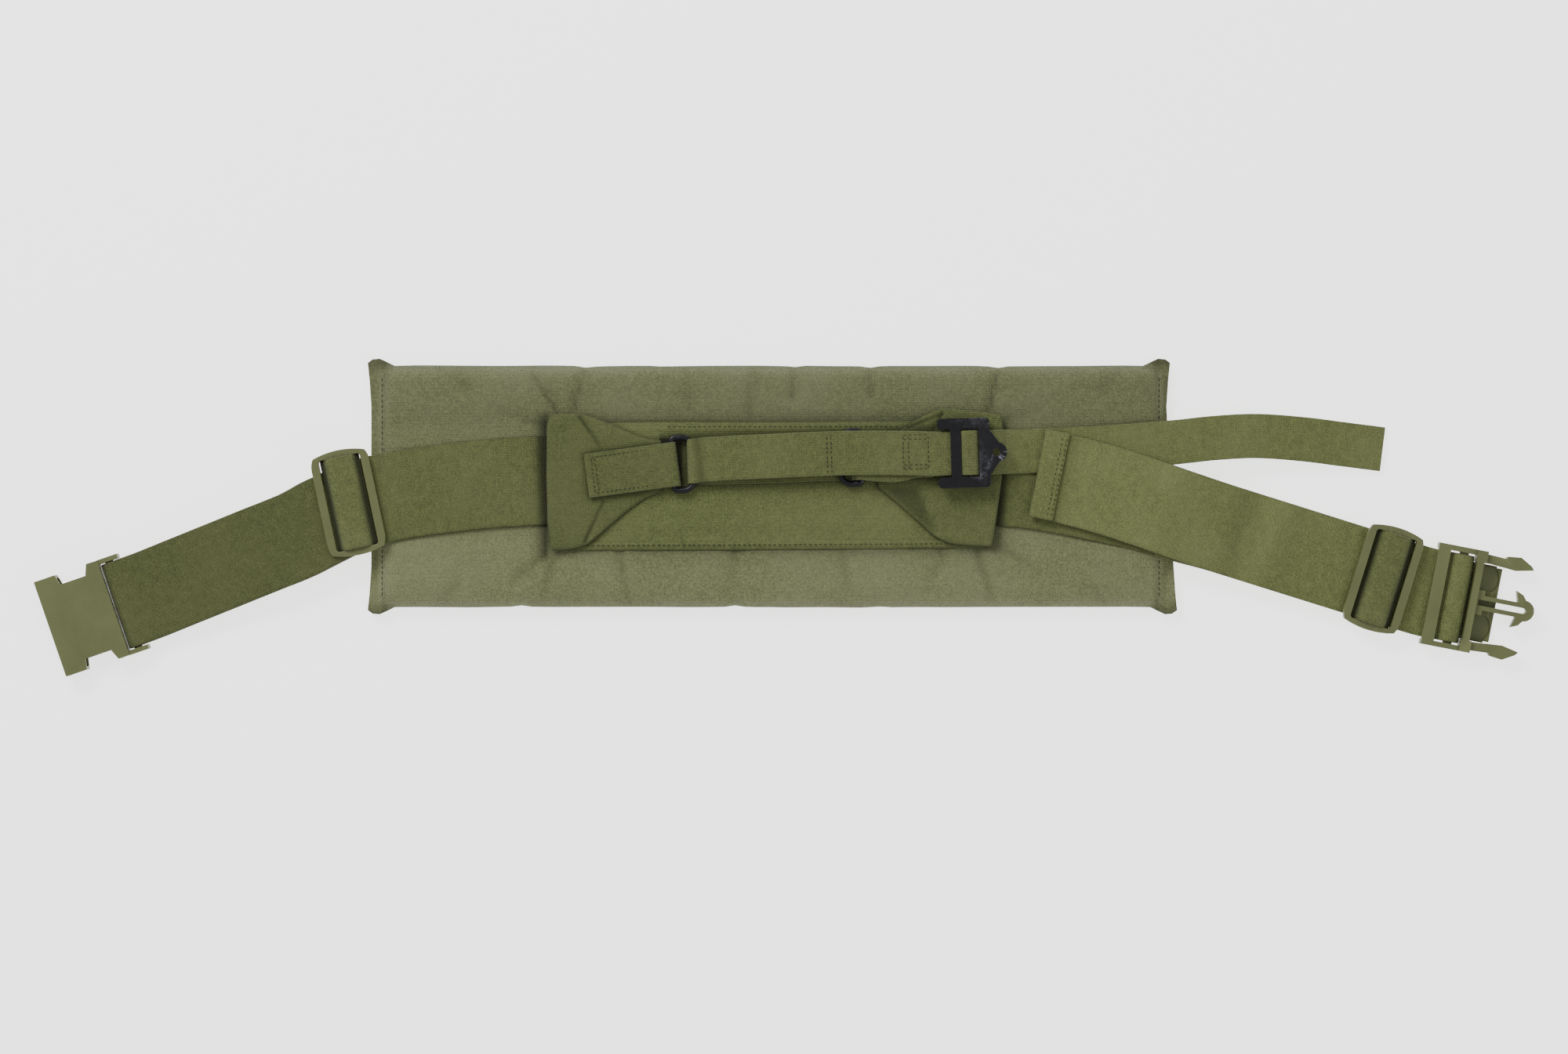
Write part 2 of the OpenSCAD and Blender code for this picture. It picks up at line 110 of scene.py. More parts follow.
class Nodes:
    """A material's node tree, with short calls for what the materials below need."""

    def __init__(self, name):
        self.material = bpy.data.materials.new(name)
        self.material.use_nodes = True
        self.tree = self.material.node_tree
        self.shader = self.tree.nodes["Principled BSDF"]

    def link(self, a, b):
        self.tree.links.new(a, b)

    def node(self, kind, **settings):
        made = self.tree.nodes.new(kind)
        for key, value in settings.items():
            if key in made.inputs:
                made.inputs[key].default_value = value
            else:
                setattr(made, key, value)
        return made

    def noise(self, vector, scale, detail=3.0, roughness=0.55):
        made = self.node("ShaderNodeTexNoise", Scale=scale, Detail=detail, Roughness=roughness)
        self.link(vector, made.inputs["Vector"])
        return made.outputs["Fac"]

    def wave(self, vector, scale, direction, distortion=1.5):
        made = self.node("ShaderNodeTexWave", Scale=scale, Distortion=distortion)
        made.bands_direction = direction
        made.inputs["Detail"].default_value = 2.0
        made.inputs["Detail Scale"].default_value = 1.5
        self.link(vector, made.inputs["Vector"])
        return made.outputs["Fac"]

    def math(self, operation, a, b):
        made = self.node("ShaderNodeMath", operation=operation)
        for socket, value in zip(made.inputs, (a, b)):
            if isinstance(value, (int, float)):
                socket.default_value = value
            else:
                self.link(value, socket)
        return made.outputs[0]

    def spread(self, value, low, high, to_low, to_high):
        made = self.node("ShaderNodeMapRange")
        for key, bound in (("From Min", low), ("From Max", high), ("To Min", to_low), ("To Max", to_high)):
            made.inputs[key].default_value = bound
        self.link(value, made.inputs["Value"])
        return made.outputs["Result"]

    def shade(self, color, factor):
        """A colour, or a socket that gives one, multiplied by a grey factor that varies over the surface."""
        made = self.node("ShaderNodeMix", data_type="RGBA", blend_type="MULTIPLY")
        made.inputs["Factor"].default_value = 1.0
        if isinstance(color, tuple):
            made.inputs[6].default_value = (*color, 1.0)
        else:
            self.link(color, made.inputs[6])
        self.link(factor, made.inputs[7])
        return made.outputs[2]

    def tint(self, color_socket, other, factor):
        made = self.node("ShaderNodeMix", data_type="RGBA")
        self.link(factor, made.inputs["Factor"])
        self.link(color_socket, made.inputs[6])
        made.inputs[7].default_value = (*other, 1.0)
        return made.outputs[2]

    def surface(self, settings):
        for key, value in settings.items():
            self.shader.inputs[key].default_value = value

    def bump(self, height, strength, distance):
        made = self.node("ShaderNodeBump", Strength=strength, Distance=distance)
        self.link(height, made.inputs["Height"])
        self.link(made.outputs["Normal"], self.shader.inputs["Normal"])


def cloth_material(name, color, faded, thread_pitch, use_uv, mottling):
    """Woven cotton: crossed threads, fine speckle and broad faded patches, laid out in millimetres."""
    n = Nodes(name)
    if use_uv:
        place = n.node("ShaderNodeUVMap", uv_map="weave").outputs["UV"]
    else:
        coords = n.node("ShaderNodeTexCoord")
        scaled = n.node("ShaderNodeVectorMath", operation="SCALE")
        scaled.inputs["Scale"].default_value = 1000.0
        n.link(coords.outputs["Object"], scaled.inputs[0])
        place = scaled.outputs[0]
    # A wave texture repeats about 3.18 times per unit at scale 1
    rate = 1.0 / thread_pitch / 3.18
    warp = n.wave(place, rate, "X", 1.2)
    weft = n.wave(place, rate * 0.9, "Y", 1.2)
    weave = n.math("MULTIPLY", warp, weft)
    speckle = n.noise(place, 0.85, 2.0, 0.7)
    slubs = n.noise(place, 0.22, 3.0, 0.6)
    patches = n.noise(place, 0.022, 3.0, 0.5)
    shade = n.math("ADD", n.spread(weave, 0.0, 1.0, 0.8, 1.1), n.spread(speckle, 0.3, 0.7, -0.26, 0.26))
    shade = n.math("MULTIPLY", shade, n.spread(slubs, 0.3, 0.7, 1.0 - 1.6 * mottling, 1.0 + 1.6 * mottling))
    base = n.shade(color, shade)
    worn = n.tint(base, faded, n.spread(patches, 0.42, 0.72, 0.0, 0.35))
    # Each piece's stored tone: painted shade in folds, gaps and along edges, painted highlights on some fold
    # rims, and a level that differs from piece to piece
    tone = n.node("ShaderNodeAttribute", attribute_name="shade").outputs["Fac"]
    n.link(n.shade(worn, tone), n.shader.inputs["Base Color"])
    n.link(n.spread(speckle, 0.3, 0.7, 0.82, 0.95), n.shader.inputs["Roughness"])
    n.surface({"Specular IOR Level": 0.25, "Sheen Weight": 0.12, "Sheen Roughness": 0.5})
    n.bump(n.math("ADD", weave, n.math("MULTIPLY", slubs, 0.8)), 0.7, 0.0003)
    return n.material


def plastic_material(name, color):
    """Moulded nylon: satin, with faint flow mottling, fine scratches, and paler along its sharp edges."""
    n = Nodes(name)
    coords = n.node("ShaderNodeTexCoord").outputs["Object"]
    mottle = n.noise(coords, 60.0, 3.0, 0.5)
    grain = n.noise(coords, 1400.0, 2.0, 0.6)
    scuffs = n.noise(coords, 240.0, 5.0, 0.7)
    base = n.shade(color, n.spread(mottle, 0.3, 0.7, 0.93, 1.08))
    edge = n.node("ShaderNodeNewGeometry").outputs["Pointiness"]
    paler = tuple(min(1.0, c * 1.55) for c in color)
    paler_edges = n.tint(base, paler, n.spread(edge, 0.52, 0.6, 0.0, 0.7))
    n.link(paler_edges, n.shader.inputs["Base Color"])
    n.link(n.spread(scuffs, 0.35, 0.7, 0.42, 0.62), n.shader.inputs["Roughness"])
    n.surface({"Specular IOR Level": 0.4})
    n.bump(grain, 0.25, 0.00006)
    return n.material


def metal_material(name):
    """Black enamel on steel, worn to grey along its edges; the grey edges also serve as painted highlights.
    """
    n = Nodes(name)
    coords = n.node("ShaderNodeTexCoord").outputs["Object"]
    chips = n.noise(coords, 420.0, 5.0, 0.7)
    film = n.noise(coords, 90.0, 3.0, 0.5)
    base = n.shade((0.006, 0.006, 0.008), n.spread(film, 0.3, 0.7, 0.6, 1.5))
    edge = n.node("ShaderNodeNewGeometry").outputs["Pointiness"]
    # Grey where the worn edges are chipped: enamel wear, which also serves as a painted highlight on the
    # edges
    wear_and_highlight = n.math("MULTIPLY", n.spread(edge, 0.52, 0.6, 0.0, 1.0), n.spread(chips, 0.42, 0.6, 0.0, 1.0))
    n.link(n.tint(base, (0.17, 0.17, 0.2), wear_and_highlight), n.shader.inputs["Base Color"])
    n.link(n.spread(chips, 0.3, 0.7, 0.26, 0.44), n.shader.inputs["Roughness"])
    n.surface({"Specular IOR Level": 0.28, "Coat Weight": 0.06, "Coat Roughness": 0.3})
    n.bump(chips, 0.2, 0.0001)
    return n.material


PAD_CLOTH = cloth_material("pad_cloth", (0.162, 0.176, 0.084), (0.2, 0.21, 0.12), 0.9, False, 0.05)
DUCK = cloth_material("duck", (0.124, 0.144, 0.05), (0.155, 0.168, 0.07), 1.1, False, 0.07)
WEBBING = cloth_material("webbing", (0.118, 0.136, 0.047), (0.155, 0.166, 0.072), 1.25, True, 0.09)
# The thread is darker than the cloth as painted shade, for stitches sunk in their grooves
THREAD = cloth_material("thread", (0.06, 0.066, 0.027), (0.1, 0.106, 0.05), 0.5, False, 0.1)
PLASTIC = plastic_material("green_plastic", (0.118, 0.13, 0.049))
METAL = metal_material("black_metal")


# ---- mesh helpers ----

def finish_piece(name, points, faces, material, uv=None, shade=None, flat=()):
    """A mesh object from points in millimetres."""
    mesh = bpy.data.meshes.new(name)
    mesh.from_pydata([tuple(c * MM for c in p) for p in points], [], faces)
    if uv is not None:
        layer = mesh.uv_layers.new(name="weave")
        for loop in mesh.loops:
            layer.data[loop.index].uv = uv[loop.vertex_index]
    tones = mesh.attributes.new("shade", "FLOAT", "POINT")
    tones.data.foreach_set("value", shade if shade is not None else [1.0] * len(points))
    for polygon in mesh.polygons:
        polygon.use_smooth = polygon.index not in flat
    mesh.materials.append(material)
    mesh.validate()
    mesh.update()
    piece = bpy.data.objects.new(name, mesh)
    bpy.context.scene.collection.objects.link(piece)
    return piece


def bend_to(piece, body_a, body_b, start, end):
    """Bakes the piece's transform into its mesh; body_a, body_b, start and end are not used."""
    tuple(c * MM for c in start)
    tuple(c * MM for c in end)
    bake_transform(piece)


def span(a, b, c, d, step=1.0):
    """Points about step apart on a smooth curve from b up to c, where a and d are the neighbours."""
    count = max(2, int((c - b).length / step) + 1)
    out = []
    for k in range(count):
        t = k / count
        out.append(0.5 * (2 * b + (c - a) * t + (2 * a - 5 * b + 4 * c - d) * t ** 2
                          + (3 * b - a - 3 * c + d) * t ** 3))
    return out


def extended(points):
    """The points, with one more beyond each end, straight on."""
    return [2 * points[0] - points[1]] + points + [2 * points[-1] - points[-2]]


def catmull(points, step):
    """Points about step apart on a smooth curve through the given ones."""
    points = [Vector(p) for p in points]
    longer = extended(points)
    out = []
    for i in range(len(points) - 1):
        out += span(*longer[i:i + 4], step)
    return out + points[-1:]


def arc(centre, radius, start_deg, end_deg, along, steps):
    """Points round an axis, in the plane of the unit vector along and Z."""
    out = []
    for k in range(steps + 1):
        a = math.radians(start_deg + (end_deg - start_deg) * k / steps)
        out.append(Vector(centre) + radius * (math.cos(a) * Vector(along) + math.sin(a) * Vector((0, 0, 1))))
    return out


def even(path, step):
    """The same path, in even steps no longer than step."""
    lengths = [0.0]
    for a, b in zip(path, path[1:]):
        lengths.append(lengths[-1] + (b - a).length)
    total = lengths[-1]
    count = max(2, int(math.ceil(total / step)))
    out = []
    for k in range(count + 1):
        s = total * k / count
        i = min(max(bisect.bisect_right(lengths, s) - 1, 0), len(path) - 2)
        span = lengths[i + 1] - lengths[i]
        t = 0 if span == 0 else (s - lengths[i]) / span
        out.append(path[i].lerp(path[i + 1], t))
    return out, total


class Strap:
    """One strap's whole way, as a smooth curve through several sections of points.
    Each section becomes a piece of its own, and neighbouring pieces meet without a step."""

    def __init__(self, sections, step=1.4):
        controls = [Vector(p) for section in sections for p in section]
        last = [sum(len(s) for s in sections[:k + 1]) - 1 for k in range(len(sections))]
        longer = extended(controls)
        dense = [[] for _ in sections]
        for i in range(len(controls) - 1):
            dense[bisect.bisect_right(last, i)] += span(*longer[i:i + 4])
        for k, part in enumerate(dense):
            part.append(dense[k + 1][0] if k + 1 < len(dense) else controls[-1])
        self.points, self.starts = [], []
        for part in dense:
            evened = even(part, step)[0]
            self.starts.append(max(0, len(self.points) - 1))
            self.points += evened[1:] if self.points else evened
        self.starts.append(len(self.points) - 1)
        self.lengths = [0.0]
        for a, b in zip(self.points, self.points[1:]):
            self.lengths.append(self.lengths[-1] + (b - a).length)
        self.frames = []
        across = None
        end = len(self.points) - 1
        for i in range(end + 1):
            t = (self.points[min(i + 1, end)] - self.points[max(i - 1, 0)]).normalized()
            if across is None or math.hypot(t.x, t.y) > 0.35:
                level = Vector((-t.y, t.x, 0)).normalized()
                across = -level if across is not None and level.dot(across) < 0 else level
            self.frames.append((across, t.cross(across).normalized()))

    def piece(self, name, section, width, thick, columns=22, tone=1.0):
        """A closed ribbon with rounded selvedges, for one section; returns it with its length."""
        ripple, cup = 0.14, 0.06
        half_w, half_t = width / 2, thick / 2
        us = [-1 + 2 * k / columns for k in range(columns + 1)]
        us = sorted(us + [-0.985, 0.985, -0.96, 0.96])
        points, uv, shade, rings = [], [], [], []
        first, last = self.starts[section], self.starts[section + 1]
        # A ring close to each cut keeps the shading smooth up to the end face
        places = [first, first + 0.02] + list(range(first + 1, last)) + [last - 0.02, last]
        for place in places:
            i = min(int(place), last - 1)
            t = place - i
            p = self.points[i].lerp(self.points[i + 1], t)
            a = self.frames[i][0].lerp(self.frames[i + 1][0], t).normalized()
            n = self.frames[i][1].lerp(self.frames[i + 1][1], t).normalized()
            s = self.lengths[i] + (self.lengths[i + 1] - self.lengths[i]) * t
            own = tone(p) if callable(tone) else tone
            rows = []
            for side in (1, -1):
                for u in (us if side > 0 else reversed(us)):
                    over = max(0.0, (abs(u) - 0.96) / 0.04)
                    v = half_t * math.sqrt(max(0.03, 1 - over * over))
                    wave = ripple * noise.noise(Vector((p.x * 0.045, p.y * 0.045, u * 1.6)))
                    points.append(p + a * (u * half_w) + n * (side * v + wave + cup * (u * u - 0.33)))
                    uv.append((u * half_w, s if side > 0 else s + 400))
                    # Painted shade along the rounded selvedges, times the tone given for the piece
                    shade.append(own * (1 - 0.4 * math.exp(-(1 - abs(u)) / 0.02)))
                    rows.append(len(points) - 1)
            rings.append(rows)
        faces = []
        size = len(rings[0])
        for r0, r1 in zip(rings, rings[1:]):
            for k in range(size):
                m = (k + 1) % size
                faces.append((r0[k], r0[m], r1[m], r1[k]))
        faces.append(tuple(rings[0]))
        faces.append(tuple(reversed(rings[-1])))
        caps = (len(faces) - 2, len(faces) - 1)
        made = finish_piece(name, points, faces, WEBBING, uv, shade, caps)
        recalc(made)
        return made, self.lengths[last] - self.lengths[first]


def recalc(piece):
    b = bmesh.new()
    b.from_mesh(piece.data)
    bmesh.ops.recalc_face_normals(b, faces=b.faces)
    b.to_mesh(piece.data)
    b.free()


def segment_distance(p, a, b):
    ab = (b[0] - a[0], b[1] - a[1])
    t = ((p[0] - a[0]) * ab[0] + (p[1] - a[1]) * ab[1]) / (ab[0] ** 2 + ab[1] ** 2)
    t = min(1.0, max(0.0, t))
    return math.hypot(p[0] - a[0] - ab[0] * t, p[1] - a[1] - ab[1] * t), t


def outline_distance(p, outline):
    return min(segment_distance(p, a, b)[0] for a, b in zip(outline, outline[1:] + outline[:1]))


def crease(p, a, b, width, depth):
    """A fold line from a to b: a valley (negative depth) or ridge that fades at its far end."""
    d, t = segment_distance(p, a, b)
    return depth * math.exp(-(d / width) ** 2) * (1 - 0.55 * t)


def rounded(outline, radius):
    """The outline with each corner replaced by a short curve."""
    out = []
    count = len(outline)
    for i, corner in enumerate(outline):
        before, after = Vector(outline[i - 1]), Vector(outline[(i + 1) % count])
        c = Vector(corner)
        r = min(radius, (before - c).length * 0.45, (after - c).length * 0.45)
        a = c + (before - c).normalized() * r
        b = c + (after - c).normalized() * r
        for k in range(5):
            t = k / 4
            q = a * (1 - t) ** 2 + c * 2 * t * (1 - t) + b * t ** 2
            out.append((q.x, q.y))
    return out


def laid_sheet(name, outline, top, bottom, material, step, tone, flat_side=None):
    """A closed piece of cloth with a given outline; top, bottom and tone are functions of (x, y).
    A flat side is a cut at that x, where two pieces meet."""
    b = bmesh.new()
    b.faces.new([b.verts.new((x, y, 0)) for x, y in outline])
    xs = [p[0] for p in outline]
    ys = [p[1] for p in outline]
    for axis, low, high in ((0, min(xs), max(xs)), (1, min(ys), max(ys))):
        for k in range(1, int((high - low) / step) + 1):
            place, normal = [0, 0, 0], [0, 0, 0]
            place[axis], normal[axis] = low + (high - low) * k / (int((high - low) / step) + 1), 1
            bmesh.ops.bisect_plane(b, geom=b.verts[:] + b.edges[:] + b.faces[:], dist=1e-5,
                                   plane_co=place, plane_no=normal)
    if flat_side is not None:
        near = [0.03 if min(xs) >= flat_side - 0.01 else -0.03, 0, 0]
        bmesh.ops.bisect_plane(b, geom=b.verts[:] + b.edges[:] + b.faces[:], dist=1e-6, plane_co=near,
                               plane_no=(1, 0, 0))
    b.verts.index_update()
    upper = [(v.co.x, v.co.y, top(v.co.x, v.co.y)) for v in b.verts]
    lower = [(v.co.x, v.co.y, bottom(v.co.x, v.co.y)) for v in b.verts]
    n = len(upper)
    faces = [tuple(v.index for v in f.verts) for f in b.faces]
    flipped = [tuple(n + i for i in reversed(f)) for f in faces]
    rim = [tuple(v.index for v in e.verts) for e in b.edges if e.is_boundary]
    sides = [(i, j, n + j, n + i) for i, j in rim]
    b.free()
    shade = [tone(x, y) for x, y, _ in upper] * 2
    first = len(faces) + len(flipped)
    flat = {first + k for k, (i, j) in enumerate(rim) if flat_side is not None
            and abs(upper[i][0] - flat_side) < 0.01 and abs(upper[j][0] - flat_side) < 0.01}
    piece = finish_piece(name, upper + lower, faces + flipped + sides, material, None, shade, flat)
    recalc(piece)
    return piece


def stitches(name, lines, height, pitch=2.6, length=1.7):
    """Rows of sewn stitches along plan lines; height gives the surface that they lie on."""
    points, faces = [], []
    radius, sides = 0.28, 6
    for line in lines:
        line = [Vector((x, y, 0)) for x, y in line]
        path, total = even(line, 0.5)
        count = max(1, int(total / pitch))
        for k in range(count):
            s0 = (k + 0.5) / count * total - length / 2
            picked = [path[min(len(path) - 1, max(0, int((s0 + length * q / 2) / total * (len(path) - 1))))]
                      for q in range(3)]
            along = picked[2] - picked[0]
            if along.length < 1e-6:
                continue
            along.normalize()
            across = Vector((-along.y, along.x, 0))
            wobble = 0.12 * noise.noise(Vector((s0 * 0.9, total, 3.1)))
            for q, (offset, size) in enumerate(((-0.5, 0.45), (-0.25, 0.95), (0.25, 0.95), (0.5, 0.45))):
                centre = picked[1] + along * (offset * length) + across * wobble
                z = height(centre.x, centre.y) + (0.12 if abs(offset) < 0.4 else -0.12)
                for a in range(sides):
                    angle = 2 * math.pi * a / sides
                    ring = across * (math.cos(angle) * radius * size)
                    points.append((centre.x + ring.x, centre.y + ring.y, z + math.sin(angle) * radius * size))
                if q:
                    first = len(points) - 2 * sides
                    for a in range(sides):
                        m = (a + 1) % sides
                        faces.append((first + a, first + m, first + sides + m, first + sides + a))
            base = len(points) - 4 * sides
            faces.append(tuple(base + a for a in reversed(range(sides))))
            faces.append(tuple(base + 3 * sides + a for a in range(sides)))
    piece = finish_piece(name, points, faces, THREAD)
    recalc(piece)
    return piece


# ---- camera, floor and light ----

def build_stage():
    """Straight down on the belt, as laid out on a white table."""
    view_width, distance = 0.884, 2.6
    camera_data = bpy.data.cameras.new("camera")
    camera_data.sensor_width = 36.0
    camera_data.lens = 36.0 * distance / view_width
    camera_data.clip_end = 20.0
    camera = bpy.data.objects.new("camera", camera_data)
    camera.location = (0.0075, -0.0228, distance)
    bpy.context.scene.collection.objects.link(camera)
    bpy.context.scene.camera = camera

    mesh = bpy.data.meshes.new("floor")
    size, level, glow = 6.0, -0.0004, 1.9
    mesh.from_pydata([(-size, -size, level), (size, -size, level), (size, size, level), (-size, size, level)],
                     [], [(0, 1, 2, 3)])
    floor = bpy.data.objects.new("floor", mesh)
    bpy.context.scene.collection.objects.link(floor)
    n = Nodes("floor")
    n.surface({"Base Color": (0.93, 0.93, 0.93, 1), "Roughness": 0.9, "Emission Color": (1, 1, 1, 1),
               "Emission Strength": glow})
    mesh.materials.append(n.material)

    world = bpy.data.worlds.new("studio")
    world.use_nodes = True
    world.node_tree.nodes["Background"].inputs["Color"].default_value = (1, 1, 1, 1)
    world.node_tree.nodes["Background"].inputs["Strength"].default_value = 0.6
    bpy.context.scene.world = world
    for name, place, size, power in (("key", (-0.9, 1.3, 1.35), 0.9, 29.0),
                                     ("fill", (1.3, -0.7, 1.6), 1.4, 8.0)):
        light = bpy.data.lights.new(name, "AREA")
        light.size, light.energy = size, power
        lamp = bpy.data.objects.new(name, light)
        lamp.location = place
        lamp.rotation_euler = (-Vector(place)).to_track_quat("-Z", "Y").to_euler()
        bpy.context.scene.collection.objects.link(lamp)


build_stage()


# ---- pad ----

# Puckers in the pad's outer face: from, to, width, depth in millimetres
PUCKERS = [
    ((-120, 42), (-133, 62), 3.2, -1.9), ((-110, 44), (-105, 67), 4.0, -1.6),
    ((-126, 34), (-152, 42), 5.0, -1.1), ((-126, -38), (-146, -55), 4.0, -1.5),
    ((-85, -38), (-79, -67), 4.0, -1.3), ((-122, -40), (-128, -64), 5.0, -1.2),
    ((-20, -38), (-24, -62), 8.0, -0.8), ((-12, 40), (-10, 66), 7.0, -0.8),
    ((12, 50), (13, 67), 5.0, -1.2), ((56, 52), (56, 67), 5.0, -1.1),
    ((122, 42), (128, 67), 3.2, -2.1), ((128, 36), (152, 44), 6.0, -1.0),
    ((116, -38), (124, -62), 6.0, -1.4), ((96, -38), (88, -58), 5.0, -1.0),
    ((130, -34), (150, -48), 7.0, -0.9), ((-170, 56), (-186, 67), 7.0, -0.7),
    ((-176, -55), (-186, -66), 7.0, -0.7), ((186, 54), (196, 66), 7.0, -0.7),
    ((180, -56), (188, -66), 7.0, -0.7), ((-45, 44), (-48, 62), 6.0, -0.7),
    ((40, -40), (44, -60), 7.0, -0.7),
]
# Small nicks where a long edge is drawn in: place and depth, negative on the bottom edge
NICKS = [(-103, 1.0), (12, 1.2), (56, 1.0), (127, 1.1), (-60, 0.4), (-20, -0.9), (60, -0.7), (-140, -0.8)]
FLANGE = 7.0


def pad_outline(side):
    """The left (-1) or right (+1) half of the pad's outline, with the corner ears."""
    def end_x(y):
        return PAD_HALF_L - (PAD_SLANT * y / PAD_HALF_W if side > 0 else 0)

    corner = []
    for s in (-1, 1):
        x = end_x(s * PAD_HALF_W)
        ear = [(x - 13, s * PAD_HALF_W), (x - 8, s * (PAD_HALF_W + 2.4)), (x - 4.5, s * (PAD_HALF_W + EAR)),
               (x - 0.5, s * (PAD_HALF_W + EAR - 0.4)), (x + 2.2, s * (PAD_HALF_W + 1.6)), (x + 1.2, s * 60),
               (x + 0.2, s * 45)]
        corner += ear if s < 0 else ear[::-1]
    edge = [(side * x, y) for x, y in corner]
    places = np.arange(8, 206, 6.0) * side
    rim_top = [(x, PAD_HALF_W + nick(x, 1)) for x in places]
    rim_bottom = [(x, -PAD_HALF_W - nick(x, -1)) for x in places]
    full = [(0, -PAD_HALF_W)] + rim_bottom + edge + rim_top[::-1] + [(0, PAD_HALF_W)]
    return full if side > 0 else full[::-1]


def nick(x, s):
    """How far the long edge is drawn in or out at x, on the top (1) or bottom (-1) edge."""
    pull = sum(-abs(d) * math.exp(-((x - at) / 4.0) ** 2) for at, d in NICKS if d * s > 0)
    return pull + 0.45 * noise.noise(Vector((x * 0.03, s * 7.0, 0.5)))


def pad_fullness(x, y):
    """0 at the seam, 1 well inside; the sewn end flange stays thin."""
    across = max(0.0, PAD_HALF_W - abs(y))
    lengthways = max(0.0, PAD_HALF_L - FLANGE * 0.55 - abs(x))
    return (1 - math.exp(-across / 3.6)) * (1 - math.exp(-lengthways / 4.0))


def pad_top(x, y):
    full = pad_fullness(x, y)
    covered = math.exp(-max(0.0, abs(y - 3) - 30) ** 2 / 60)
    crown = 1.9 * (1 - covered) * full
    z = SEAM_Z + 0.9 + (PAD_TOP - SEAM_Z - 1.1) * full + crown
    for a, b, width, depth in PUCKERS:
        z += crease((x, y), a, b, width * 0.8, depth * 1.35) * full * (1 - covered)
        z += crease((x, y), a, b, width * 2.2, -depth * 0.35) * full * (1 - covered)
    z += (1 - covered) * full * (0.55 * noise.noise(Vector((x * 0.035, y * 0.05, 1.7)))
                                 + 0.22 * noise.noise(Vector((x * 0.11, y * 0.13, 4.2))))
    return min(z, PAD_TOP - 0.15 + 2.2 * (1 - covered))


def strap_height(x):
    """The middle of the cinch strap, in plan."""
    slope = 0.0306
    return STRAP_Y + slope * (x - STRAP_X)


def outside_panel(x, y):
    """How far a point lies outside the wrap panel."""
    return math.hypot(max(0.0, -125.5 - x, x - 129), max(0.0, y - 36, -36 - y))


def pad_painted_shade(x, y):
    """Lighter towards the wearer's lower edge, with painted shade in the puckers, along the edges and in the
    end seams' grooves, and painted shadow beside the panel, deepest at its left end.
    """
    tone = 1.07 - 0.0024 * y
    for a, b, width, depth in PUCKERS:
        tone *= 1 + crease((x, y), a, b, width * 0.4, depth * 0.24)
    tone *= 1 - 0.35 * math.exp(-max(0.0, PAD_HALF_W - abs(y)) / 1.8)
    tone *= 1 - 0.22 * math.exp(-((abs(x) - PAD_HALF_L + 7.5) / 1.6) ** 2)
    tone *= 1 - 0.4 * math.exp(-outside_panel(x, y) / 3.0)
    if x < -125:
        tone *= 1 - 0.6 * math.exp(-(outside_panel(x, y) / 5.0) ** 2)
    return tone


def pad_bottom(x, y):
    full = pad_fullness(x, y)
    return (SEAM_Z - 0.9) * (1 - full) + 0.12 * full


def build_pad():
    for side, word, body in ((-1, "left", "left_end"), (1, "right", "right_end")):
        outline = pad_outline(side)
        piece = laid_sheet(f"pad_{word}_half", outline, pad_top, pad_bottom, PAD_CLOTH, 2.4,
                           pad_painted_shade, 0.0)
        nodes = [f"pad_cover_{word}", f"pad_foam_{word}"]
        if side < 0:
            nodes += ["pad_cover_centre", "pad_foam_centre"]
        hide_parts(*nodes)
        bend_to(piece, "pad", body, (side * 118, 0, 6), (side * 162, 0, 6))

        lines = [[(side * (PAD_HALF_L - 6.2), -62), (side * (PAD_HALF_L - 6.2), 62)],
                 [(side * (PAD_HALF_L - 3.4), -60), (side * (PAD_HALF_L - 3.4), 60)]]
        seam = stitches(f"pad_{word}_seam", lines, pad_top, pitch=3.0, length=2.0)
        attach(seam, body)


build_pad()


# ---- belt webbing ----

def plan(points, z):
    return [(x, y, z) for x, y in points]


def lay_strap(strap, name, section, width, thick, held, rests_on, nodes=(), **looks):
    """One section of a strap, as a piece of webbing."""
    piece, length = strap.piece(name, section, width, thick, **looks)
    if nodes:
        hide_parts(*nodes)
    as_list(rests_on)
    return piece


def shadow_beside_panel(low, mouth, soft):
    """A tone that falls off into painted shadow where the belt goes under the wrap panel, at x = mouth."""
    def tone(p):
        return low * (1 - 0.78 / (1 + math.exp(math.copysign(1, mouth) * (p.x - mouth) / soft)))
    return tone


